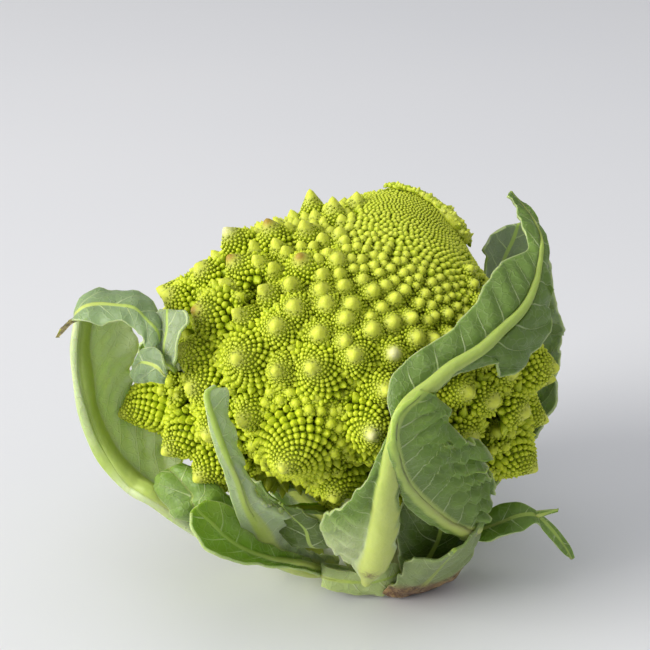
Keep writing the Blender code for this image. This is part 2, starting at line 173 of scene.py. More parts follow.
@dataclass
class Shell:
    """A mesh in the making: points, faces of any number of corners, and named values at the points."""

    points: list[Array] = field(default_factory=list)
    corners: list[Array] = field(default_factory=list)
    face_sizes: list[Array] = field(default_factory=list)
    values: dict[str, list[Array]] = field(default_factory=dict)
    count: int = 0

    def add(self, points: Array, faces: Sequence[Array], **values: Array | float) -> None:
        """Adds points, and faces that count from the first of them.

        Args:
            points: one point to a row.
            faces: arrays of corner numbers, each with one face to a row.
            values: named values, one for all the points or one for each.
        """
        for block in faces:
            self.corners.append(block.reshape(-1) + self.count)
            self.face_sizes.append(np.full(len(block), block.shape[1]))
        for name, value in values.items():
            self.values.setdefault(name, []).append(np.broadcast_to(np.asarray(value, float), len(points)))
        self.points.append(points)
        self.count += len(points)

    def triangles(self) -> int:
        """How many triangles the faces make."""
        return int(sum((sizes - 2).sum() for sizes in self.face_sizes))

    def build(self, name: str, material: bpy.types.Material) -> bpy.types.Object:
        """Makes the object, smooth shaded, at the origin.

        Args:
            name: the object's name.
            material: what it is dressed in.

        Returns:
            The object, linked to the scene.
        """
        points = np.vstack(self.points)
        corners = np.concatenate(self.corners).astype(np.int32)
        sizes = np.concatenate(self.face_sizes).astype(np.int32)
        mesh = bpy.data.meshes.new(name)
        mesh.vertices.add(len(points))
        mesh.vertices.foreach_set("co", points.astype(np.float32).ravel())
        mesh.loops.add(len(corners))
        mesh.loops.foreach_set("vertex_index", corners)
        mesh.polygons.add(len(sizes))
        mesh.polygons.foreach_set("loop_start", np.concatenate([[0], np.cumsum(sizes)[:-1]]).astype(np.int32))
        for value_name, blocks in self.values.items():
            layer = mesh.attributes.new(value_name, "FLOAT", "POINT")
            layer.data.foreach_set("value", np.concatenate(blocks).astype(np.float32))
        mesh.update(calc_edges=True)
        mesh.shade_smooth()
        mesh.materials.append(material)
        piece = bpy.data.objects.new(name, mesh)
        bpy.context.scene.collection.objects.link(piece)
        return piece


def ring_faces(rings: int, sides: int) -> list[Array]:
    """Faces of rings stacked from the bottom up, then one tip point, with the bottom ring closed by one face.

    Args:
        rings: how many rings.
        sides: points to a ring.

    Returns:
        Quads between the rings, triangles to the tip, and the bottom face.
    """
    ring, side = np.meshgrid(np.arange(rings - 1), np.arange(sides), indexing="ij")
    start, after = ring * sides + side, ring * sides + (side + 1) % sides
    quads = np.stack([start, after, after + sides, start + sides], -1).reshape(-1, 4)
    last = (rings - 1) * sides
    sides_run = np.arange(sides)
    tips = np.stack([last + sides_run, last + (sides_run + 1) % sides, np.full(sides, rings * sides)], -1)
    return [quads, tips, sides_run[::-1][None]]


def frame_axes(axes: Array) -> tuple[Array, Array]:
    """Two unit directions square to each axis and to each other."""
    helper = np.where(np.abs(axes[..., 2:]) < 0.9, [0.0, 0.0, 1.0], [1.0, 0.0, 0.0])
    across = unit(np.cross(helper, axes))
    return across, np.cross(axes, across)


@dataclass(frozen=True)
class Bump:
    """A bud's plain shape: a round blunt cone of unit width, as rings of (radius, height) and a tip."""

    sides: int
    rings: tuple[tuple[float, float], ...]
    top: float = 0.92

    def scatter(
        self, shell: Shell, feet: Array, axes: Array, widths: Array, heights: Array, values: dict[str, Array]
    ) -> None:
        """Puts one bump at each foot: foot + width (x across + y up) + height z axis.

        Args:
            shell: the mesh that takes them.
            feet: middles of the bumps' feet.
            axes: the way each bump points.
            widths: the bumps' widths.
            heights: the bumps' heights.
            values: named values, one for each bump.
        """
        if not len(feet):
            return
        turn = full_turn(self.sides)
        radius, level = np.array(self.rings).T
        x = np.append((radius[:, None] * np.cos(turn)).ravel(), 0)
        y = np.append((radius[:, None] * np.sin(turn)).ravel(), 0)
        z = np.append(np.repeat(level, self.sides), self.top)
        across, up = frame_axes(axes)
        points = (
            feet[:, None]
            + widths[:, None, None] * (x[:, None] * across[:, None] + y[:, None] * up[:, None])
            + heights[:, None, None] * z[:, None] * axes[:, None]
        )
        count, size = points.shape[:2]
        offset = (np.arange(count) * size)[:, None, None]
        blocks = ring_faces(len(radius), self.sides)
        faces = [(block[None] + offset).reshape(-1, block.shape[1]) for block in blocks]
        spread = {name: np.repeat(value, size) for name, value in values.items()}
        tip = np.tile(np.clip(z / self.top, 0, 1), count)
        shell.add(points.reshape(-1, 3), faces, tip=tip, **spread)


FINE_BUMP = Bump(8, ((0.58, -0.1), (0.43, 0.28), (0.23, 0.65), (0.07, 0.92)), 1.0)
PLAIN_BUMP = Bump(6, ((0.57, -0.05), (0.38, 0.42), (0.14, 0.80)), 0.94)
SMALL_BUMP = Bump(6, ((0.54, 0.0), (0.31, 0.56)), 0.88)
TINY_BUMP = Bump(5, ((0.52, 0.04),), 0.78)


# ---------------------------------------------------------------------------- where florets stand


class Mark(Enum):
    """What has happened to a floret's tip."""

    NONE = 0
    BROWN = 1
    SCAR = 2


@dataclass(frozen=True)
class Leader:
    """A floret with a place of its own. Width in millimetres, rise as a share of the width."""

    bearing: float
    elevation: float
    reach: float
    width: float
    rise: float = 0.55
    mark: Mark = Mark.NONE


LEADERS = tuple(
    Leader(*row)
    for row in (
        (-74, -14, 1.11, 35, 0.80), (-14, -8, 1.12, 34, 0.80), (-29, 22, 1.04, 23, 0.75),
        (-50, 32, 1.02, 19, 0.62, Mark.BROWN), (-9, 22, 1.03, 21, 0.7), (2, 26, 1.02, 18, 0.7),
        (6, 1, 1.03, 22, 0.7, Mark.SCAR), (62, 8, 1.08, 26, 0.75), (60, -27, 1.13, 25, 0.72),
        (-21, 34, 1.01, 15, 0.75), (-21, 57, 1.02, 15, 0.75, Mark.BROWN), (-30, 69, 1.05, 12, 1.1),
        (-22, 82, 1.06, 12, 1.15), (-105, 81, 1.04, 12, 1.2), (36, 85, 1.06, 11, 1.1),
        (-68, 57, 1.06, 14, 0.9, Mark.SCAR), (-86, 27, 0.97, 12, 0.85), (-82, 33, 0.93, 12, 0.9),
        (-79, 40, 0.93, 12, 0.9), (-54, 66, 1.05, 13, 0.9, Mark.BROWN),
        (-53, 51, 1.02, 14, 0.8, Mark.BROWN), (13, 26, 1.00, 11, 0.7, Mark.SCAR), (21, 30, 1.00, 10, 0.75),
        (8, 34, 1.00, 10.5, 0.75), (0, 38, 1.00, 11, 0.75), (15, 36, 0.99, 10, 0.75),
        (-8, 33, 1.00, 11.5, 0.75), (-17, 41, 1.01, 13, 0.75), (-7, 43, 1.00, 11.5, 0.75),
        (-4, 58, 1.01, 10, 0.8), (-4, 70, 1.01, 9, 0.9), (41, 4, 1.00, 13), (52, -4, 1.03, 14),
        (48, 12, 1.02, 12), (34, -8, 1.00, 15), (-55, -20, 1.06, 22, 0.8), (-45, -27, 1.06, 20, 0.8),
        (-3, -29, 1.0, 20, 0.7), (-44, 8, 1.0, 21, 0.75), (-38, -8, 1.0, 18, 0.7), (18, -26, 1.0, 18, 0.7),
        (54, 47, 1.01, 5.5, 0.8), (50, 42, 1.01, 6, 0.8), (47, 36, 1.02, 7, 0.8), (45, 29, 1.02, 8, 0.8),
        (-70, 31, 1.01, 15, 0.7), (-64, 44, 1.02, 12, 0.7),
    )
)


@dataclass
class Stand:
    """Florets as rows of arrays: tips, the ways they point, widths, rises and marks."""

    tips: Array
    axes: Array
    widths: Array
    rises: Array
    marks: Array


@dataclass(frozen=True)
class Crest:
    """The growing tip, which has spread into a short ridge."""

    line: tuple[tuple[float, float, float], ...] = (
        (-0.002, 0.008, 0.1480),
        (0.004, 0.005, 0.1497),
        (0.012, 0.002, 0.1492),
        (0.0185, -0.001, 0.1450),
        (0.0215, -0.003, 0.1388),
        (0.0255, -0.004, 0.1342),
        (0.0262, -0.004, 0.1300),
    )
    skin: float = 0.985
    swells: tuple[tuple[float, float, float, float], ...] = (
        (125, 63, 20, 0.09),
        (98, 77, 15, 0.045),
        (100, 31, 24, -0.28),
        (-104, 33, 22, -0.21),
        (-165, 66, 22, -0.12),
        (-66, -28, 16, 0.06),
        (-150, 58, 28, -0.04),
    )

    def reach(self, units: Array) -> Array:
        """How far the curd's skin reaches.

        It is skin plus, for each swell of (bearing, elevation, radius, amount), amount times
        exp(-(angle from the swell / radius)^2): the growing tip stands up, and its far sides fall away.
        """
        reach = np.full(units.shape[:-1], self.skin)
        for bearing, elevation, radius, amount in self.swells:
            angle = np.degrees(np.arccos(np.clip(units @ direction(bearing, elevation), -1, 1)))
            reach = reach + amount * np.exp(-((angle / radius) ** 2))
        return reach

    def distance(self, points: Array) -> Array:
        """Distance from each point to the nearest stretch of the ridge."""
        line = np.array(self.line)
        start, run = line[:-1], np.diff(line, axis=0)
        gap = points[:, None] - start
        share = np.clip((gap * run).sum(-1) / (run**2).sum(-1), 0, 1)
        return np.linalg.norm(gap - share[..., None] * run, axis=-1).min(1)


# A floret's rise, as a share of its width, at widths in millimetres.
RISE = Curve((1, 3, 6, 10, 16, 30), (0.5, 0.64, 0.95, 1.0, 0.9, 0.75))


@dataclass
class Packing:
    """Places the florets: the leaders, and between them as many as fit at their natural widths, evened out.

    A natural width is smallest + grown (distance from the crest / distance)^power, within smallest and
    largest, and left of the crest at least side_width. Of the candidates that the spiral gives above the
    lowest elevation, those nearer to a leader than leader_room of both widths drop out, and the rest are
    thinned to fill a share of the skin (room: of the small ones and of the large ones). Widths near
    varied_from and above differ by the factors in variety. Then settle_steps rounds push each place off its
    neighbours, by push of what it lacks of spacing times both widths, and each width is drawn to its
    neighbours within the factors in fit.
    """

    crest: Crest
    smallest: float = 1.25 * MM
    largest: float = 32 * MM
    grown: float = 1.9 * MM
    distance: float = 26.5 * MM
    power: float = 2.1
    side_width: float = 9.5 * MM
    candidates: int = 40000
    crowding: float = 2.2
    room: tuple[float, float] = (0.90, 0.96)
    variety: tuple[float, float] = (0.58, 1.22)
    leader_room: float = 0.47
    lowest: float = -50.0
    settle_steps: int = 40
    neighbours: int = 8
    varied_from: float = 6.0 * MM
    fit: tuple[float, float] = (0.8, 1.25)
    spacing: float = 0.52
    push: float = 0.33
    seed: int = 7

    def natural_width(self, points: Array) -> Array:
        """A floret's natural width at each point."""
        away = self.crest.distance(points)
        width = self.smallest + self.grown * (away / self.distance) ** self.power
        left = self.side_width * smoothstep(-points[:, 0], 6 * MM, 19 * MM)
        return np.clip(np.maximum(width, left), self.smallest, self.largest)

    def skin_points(self, units: Array) -> Array:
        """Where the skin lies in each direction."""
        return on_head(units, self.crest.reach(units))

    def spiral(self) -> tuple[Array, Array]:
        """Directions all over the head in a golden-angle spiral that is crowded round the crest.

        The k-th of n lies at 1 - cos(lean) = 2 (k / n)^crowding from the crest's middle.

        Returns:
            The directions, and the area that each stands for.
        """
        up = unit((np.array(self.crest.line[3]) - HEAD_CENTRE) / HEAD_HALF)
        along, across = frame_axes(up)
        share = (np.arange(self.candidates) + 0.5) / self.candidates
        height = 1 - 2 * share**self.crowding
        flat = np.sqrt(np.maximum(1 - height**2, 0))
        turn = np.arange(self.candidates) * GOLDEN_ANGLE
        units = height[:, None] * up + flat[:, None] * around(turn, along, across)
        mean_square = float(np.mean([x * y for x, y in zip(HEAD_HALF, np.roll(HEAD_HALF, 1))]))
        area = 4 * math.pi * self.crowding * share ** (self.crowding - 1) / self.candidates * mean_square
        kept = np.degrees(np.arcsin(units[:, 2])) > self.lowest
        return units[kept], area[kept]

    def varied(self, widths: Array, share: Array) -> Array:
        """Widths made unequal, but only where they are wide: share runs from 0 for the least to 1."""
        low, high = self.variety
        much = smoothstep(widths, 2.5 * MM, self.varied_from)
        return widths * (1 + much * (low + (high - low) * share - 1))

    def settle(self, units: Array, sizes: Array, shares: Array, fixed: int) -> Array:
        """Evens the places out: each is pushed off neighbours that are nearer than their mean width.

        Args:
            units: directions, the leaders first.
            sizes: their widths.
            shares: what makes their widths unequal.
            fixed: how many of them stay where they are.

        Returns:
            The new directions.
        """
        for _ in range(self.settle_steps):
            points = self.skin_points(units)
            near = nearest(points, self.neighbours)
            gap = points[:, None] - points[near]
            length = np.linalg.norm(gap, axis=-1)
            want = self.spacing * (sizes[:, None] + sizes[near])
            push = np.where((length > 1e-9) & (length < want), (want - length) * self.push, 0)
            moved = points + (unit(gap) * push[..., None]).sum(1)
            moved[:fixed] = points[:fixed]
            units = unit((moved - HEAD_CENTRE) / HEAD_HALF)
            sizes[fixed:] = self.varied(self.natural_width(moved[fixed:]), shares[fixed:])
        return units

    def chosen(self, leaders: Array, leader_widths: Array) -> tuple[Array, Array]:
        """Picks the places between the leaders from the spiral.

        Args:
            leaders: the leaders' directions.
            leader_widths: their widths.

        Returns:
            The directions picked, and the natural widths there.
        """
        units, area = self.spiral()
        points = self.skin_points(units)
        widths = self.natural_width(points)
        open_place = np.ones(len(units), bool)
        for place, width in zip(self.skin_points(leaders), leader_widths):
            open_place &= np.linalg.norm(points - place, axis=1) > self.leader_room * (width + widths)
        room = self.room[0] + (self.room[1] - self.room[0]) * smoothstep(widths, 3 * MM, 7 * MM)
        filled = np.cumsum((area / (room * self.varied(widths, 0.5) ** 2))[open_place])
        picked = np.flatnonzero(np.diff(np.floor(filled)) > 0)
        return units[open_place][picked], widths[open_place][picked]

    def stand(self) -> Stand:
        """All the florets, the leaders first."""
        rng = np.random.default_rng(self.seed)
        bearing, elevation, reaches, leader_widths, leader_rises, leader_marks = np.array(
            [(one.bearing, one.elevation, one.reach, one.width, one.rise, one.mark.value) for one in LEADERS]
        ).T
        leaders, leader_widths = direction(bearing, elevation), leader_widths * MM
        count = len(leaders)
        chosen, widths = self.chosen(leaders, leader_widths)
        shares = rng.uniform(0, 1, count + len(chosen))
        sizes = np.concatenate([leader_widths, self.varied(widths, shares[count:])])
        units = self.settle(np.vstack([leaders, chosen]), sizes, shares, count)
        sizes = self.fitted(self.skin_points(units), sizes, count)
        LOG.info("%d florets", len(units))
        natural = self.natural_width(self.skin_points(units))
        above = 0.13 * sizes - 0.34 * np.maximum(natural - sizes, 0) + 0.16 * np.maximum(sizes - natural, 0)
        above *= smoothstep(natural, 2 * MM, self.varied_from)
        reach = self.crest.reach(units) + above / HEAD_HALF[1]
        reach[:count] = reaches
        tips = on_head(units, reach)
        rises = RISE.read(sizes / MM)
        rises *= rng.uniform(0.9, 1.15, len(rises)) * (1 + 0.3 * smoothstep(-tips[:, 0], 20 * MM, 45 * MM))
        rises[:count] = leader_rises
        marks = np.zeros(len(units), int)
        marks[:count] = leader_marks
        axes = unit(unit(tips - HEAD_CENTRE) + 0.6 * unit((tips - HEAD_CENTRE) / HEAD_HALF**2))
        axes = unit(axes + rng.normal(0, 0.07, axes.shape))
        return Stand(tips, axes, sizes, rises, marks)

    def fitted(self, tips: Array, sizes: Array, fixed: int) -> Array:
        """Widths that fill the room: each one's mean share of the distance to its nearest neighbours.

        Args:
            tips: the florets' tips.
            sizes: their natural widths.
            fixed: how many keep their width.

        Returns:
            The widths, each between the factors in fit of its natural one.
        """
        near = nearest(tips, 6)[:, 1:]
        length = np.linalg.norm(tips[:, None] - tips[near], axis=-1)
        room = np.mean(2 * length / (sizes[:, None] + sizes[near]), axis=1)
        fitted = sizes * np.clip(room, *self.fit)
        fitted[:fixed] = sizes[:fixed]
        return fitted


# ---------------------------------------------------------------------------- the curd


@dataclass
class Buds:
    """Bumps gathered for one mesh, sorted by template when they are put in."""

    columns: dict[str, list[Array]] = field(default_factory=dict)

    def add(self, **columns: Array | float) -> None:
        """Gathers bumps.

        Args:
            columns: feet, axes, widths, heights and the values bloom, deep (painted shade in the crevices),
                age, bruise and scar, each with a row for each bump or, among the values, one number for all.
        """
        count = len(columns["feet"])
        for name, column in columns.items():
            column = np.full(count, column) if np.isscalar(column) else column
            self.columns.setdefault(name, []).append(column)

    def put(self, shell: Shell, fine_width: float, plain_width: float, small_width: float) -> None:
        """Scatters all the bumps, the widest with the finest template.

        Args:
            shell: the mesh that takes them.
            fine_width: from this width on a bump is FINE_BUMP.
            plain_width: from this width on it is PLAIN_BUMP.
            small_width: from this width on it is SMALL_BUMP, and below it TINY_BUMP.
        """
        if not self.columns:
            return
        values = {name: np.concatenate(blocks) for name, blocks in self.columns.items()}
        feet, axes, widths, heights = (values.pop(name) for name in ("feet", "axes", "widths", "heights"))
        limits = (np.inf, fine_width, plain_width, small_width, 0)
        for template, low, high in zip((FINE_BUMP, PLAIN_BUMP, SMALL_BUMP, TINY_BUMP), limits[1:], limits):
            chosen = (widths >= low) & (widths < high)
            picked = {name: value[chosen] for name, value in values.items()}
            template.scatter(shell, feet[chosen], axes[chosen], widths[chosen], heights[chosen], picked)


# By a floret's width in millimetres: the knob's share of the cone, the bulge of the cone's side, the widths
# of the first bud and of one at the shoulder as shares of the floret's, and how pale the knob is.
KNOB = Curve((3, 5, 8, 12, 17, 24, 35), (0.75, 0.66, 0.55, 0.43, 0.28, 0.18, 0.10))
BULGE = Curve((3, 8, 16, 35), (2.0, 1.6, 1.3, 1.15))
FIRST_BUD = Curve((3, 8, 12, 17, 35), (0.20, 0.14, 0.10, 0.075, 0.042))
SHOULDER_BUD = Curve((3, 8, 17, 35), (0.26, 0.24, 0.21, 0.165))
PALENESS = Curve((1.5, 6, 12, 20, 35), (0.3, 0.5, 0.6, 0.6, 0.5))
# By the share of the way to the shoulder: how far a bud leans toward the floret's own axis.
LIFT = Curve((0, 0.5, 1, 1.5), (0.5, 0.6, 0.4, 0.1))


@dataclass
class Floret:
    """A blunt cone with buds round it in a golden-angle spiral, which grow with distance from its tip.

    The cone's radius at share t of the way to the shoulder is half the width times 1 - (1 - t)^bulge, and
    its depth is rise times the width times sqrt(t^2 + e^2) - e, where e is round_tip. Past the shoulder it
    narrows by shoulder_taper. Its flesh ends at the share deepest and its buds at last_bud. A bud wider than
    grown_bud grows as a floret of the next level; none is narrower than least_bud, or least_bud_behind on a
    floret that isn't fine. Buds start at first_share of the knob. Their heights are shares of their widths,
    bud_heights from there to half past the shoulder.
    """

    tip: Array
    axis: Array
    width: float
    rise: float
    mark: Mark = Mark.NONE
    level: int = 0
    fine: bool = True
    seed: int = 0
    round_tip: float = 0.08
    shoulder_taper: float = 0.20
    deepest: float = 1.75
    last_bud: float = 1.3
    first_share: float = 0.62
    bud_room: float = 0.74
    grown_bud: float = 4.3 * MM
    least_bud: float = 1.64 * MM
    least_bud_behind: float = 3.0 * MM
    bud_heights: tuple[float, ...] = (0.10, 0.30, 0.70, 1.2, 1.35)

    def __post_init__(self) -> None:
        """Works out the knob's share of the cone and the buds' sizes from the width."""
        width = self.width / MM
        self.knob, self.bulge = float(KNOB.read(width)), float(BULGE.read(width))
        self.first_bud, self.shoulder_bud = float(FIRST_BUD.read(width)), float(SHOULDER_BUD.read(width))

    def meridian(self, t: Array) -> tuple[Array, Array]:
        """Radius and depth below the tip at shares t of the way to the shoulder."""
        capped = np.clip(t, 0, 1)
        radius = self.width / 2 * (1 - (1 - capped) ** self.bulge)
        radius = radius * (1 - self.shoulder_taper * np.maximum(t - 1, 0))
        depth = self.rise * self.width * (np.sqrt(t**2 + self.round_tip**2) - self.round_tip)
        return radius, depth

    def bud_width(self, t: Array) -> Array:
        """A bud's width at share t: the first bud's, growing past the knob, and faster past the shoulder."""
        share = np.clip((t - self.knob) / (1 - self.knob), 0, None)
        grown = self.first_bud + (self.shoulder_bud - self.first_bud) * share**1.45
        least = self.least_bud * (1 + 0.12 * self.level) if self.fine else self.least_bud_behind
        return np.maximum(self.width * grown * (1 + 0.8 * np.maximum(t - 1, 0)), least)

    def core(self, shell: Shell, age: float) -> None:
        """The smooth flesh under the buds, round at the knob and closed below.

        Args:
            shell: the mesh that takes it.
            age: the floret's own shade, from -1 to 1.
        """
        large = self.width > 7 * MM and self.fine
        sides = 12 if large else 8
        knob = np.linspace(self.knob, 0, 4 if large else 3)[:-1]
        t = np.concatenate([[self.deepest, 1.1, (1.0 + self.knob) / 2], knob])
        radius, depth = self.meridian(t)
        radius = radius - 0.22 * self.bud_width(t) * (t > self.knob)
        across, up = frame_axes(self.axis)
        circle = around(full_turn(sides), across, up)
        points = self.tip - depth[:, None, None] * self.axis + radius[:, None, None] * circle
        points = np.vstack([points.reshape(-1, 3), self.tip])
        shares = np.append(np.repeat(t, sides), 0)
        on_knob = 1 - smoothstep(shares, self.knob * 0.9, self.knob * 1.6 + 0.08)
        near = 1 - smoothstep(shares, 0.25 * self.knob, 0.9 * self.knob)
        shell.add(
            points,
            ring_faces(len(t), sides),
            tip=0.15 + 0.7 * on_knob,
            bloom=on_knob * self.paleness(),
            # painted crevice shade, growing down the cone toward its foot
            deep=smoothstep(shares, 0.8, 1.5),
            age=age,
            bruise=near * (self.mark is Mark.BROWN),
            scar=near * (self.mark is Mark.SCAR) * 0.6,
        )

    def paleness(self) -> float:
        """How pale the knob is: most on middle florets, less on small domes and sharp cones."""
        pale = float(PALENESS.read(self.width / MM))
        return pale if self.level == 0 else 0.3 * pale

    def bud_places(self, rng: np.random.Generator) -> tuple[Array, Array]:
        """Where the buds stand: as many as the cone has room for, at golden-angle turns.

        Args:
            rng: shifts the angles a little.

        Returns:
            Each bud's share of the way to the shoulder, and its angle.
        """
        t = np.linspace(self.knob * self.first_share, self.last_bud, 160)
        radius, depth = self.meridian(t)
        run = np.hypot(np.gradient(radius), np.gradient(depth))
        density = 2 * math.pi * radius * run / (self.bud_room * self.bud_width(t) ** 2)
        counted = np.cumsum(density) - density[0]
        number = np.arange(int(counted[-1]))
        hand = 1 if self.seed % 2 else -1
        angle = number * GOLDEN_ANGLE * hand + self.seed + rng.normal(0, 0.012, len(number))
        return np.interp(number + 0.5, counted, t), angle

    def grow(self, shell: Shell, buds: Buds) -> None:
        """Adds the flesh to the mesh and the buds to the gathering; the widest buds grow as florets.

        Args:
            shell: the mesh that takes the flesh.
            buds: where the bumps are gathered.
        """
        rng = np.random.default_rng(self.seed)
        age = float(rng.uniform(-1, 1))
        self.core(shell, age)
        place, angle = self.bud_places(rng)
        radius, depth = self.meridian(place)
        step = 1e-3
        radius_after, depth_after = self.meridian(place + step)
        slope_r, slope_z = (radius_after - radius) / step, (depth_after - depth) / step
        across, up = frame_axes(self.axis)
        out = around(angle, across, up)
        normal = unit(slope_z[:, None] * out + slope_r[:, None] * self.axis)
        size = self.bud_width(place) * rng.uniform(0.82, 1.16, len(place))
        axes = unit(normal + LIFT.read(place)[:, None] * self.axis + rng.normal(0, 0.12, normal.shape))
        feet = self.tip - depth[:, None] * self.axis + radius[:, None] * out - 0.12 * size[:, None] * normal
        tall_at = (self.first_share * self.knob, self.knob, self.knob + 0.2, 1, 1.5)
        tall = size * np.interp(place, tall_at, self.bud_heights)
        tall *= rng.uniform(0.9, 1.15, len(place))
        bloom = np.exp(-((place / (self.knob + 0.12)) ** 2)) * self.paleness()
        # Painted crevice shade: buds low on the cone are darkened as if shaded by their neighbours.
        deep = smoothstep(place, 0.85, 1.5)
        grown = (size > self.grown_bud) & self.fine & (self.level == 0)
        for index in np.flatnonzero(grown):
            Floret(
                feet[index] + axes[index] * tall[index] * 0.95,
                axes[index],
                size[index] * 1.08,
                0.72,
                level=self.level + 1,
                fine=self.fine,
                seed=self.seed * 31 + int(index),
                last_bud=1.1,
                deepest=1.3,
            ).grow(shell, buds)
        rest = ~grown
        near = np.exp(-((place[rest] / 0.22) ** 4))
        buds.add(
            feet=feet[rest],
            axes=axes[rest],
            widths=size[rest],
            heights=tall[rest],
            bloom=bloom[rest],
            deep=deep[rest],
            age=age + rng.uniform(-0.5, 0.5, int(rest.sum())),
            bruise=near * (self.mark is Mark.BROWN),
            scar=near * (self.mark is Mark.SCAR) * 0.35,
        )


# Vertex values: of a bump or a ridge in the open, and of the smooth flesh between the florets, which gets the
# full painted crevice shade.
OPEN = {"deep": 0.0, "bruise": 0.0, "scar": 0.0}
FLESH = {**OPEN, "tip": 0.0, "bloom": 0.0, "deep": 1.0, "age": 0.0}


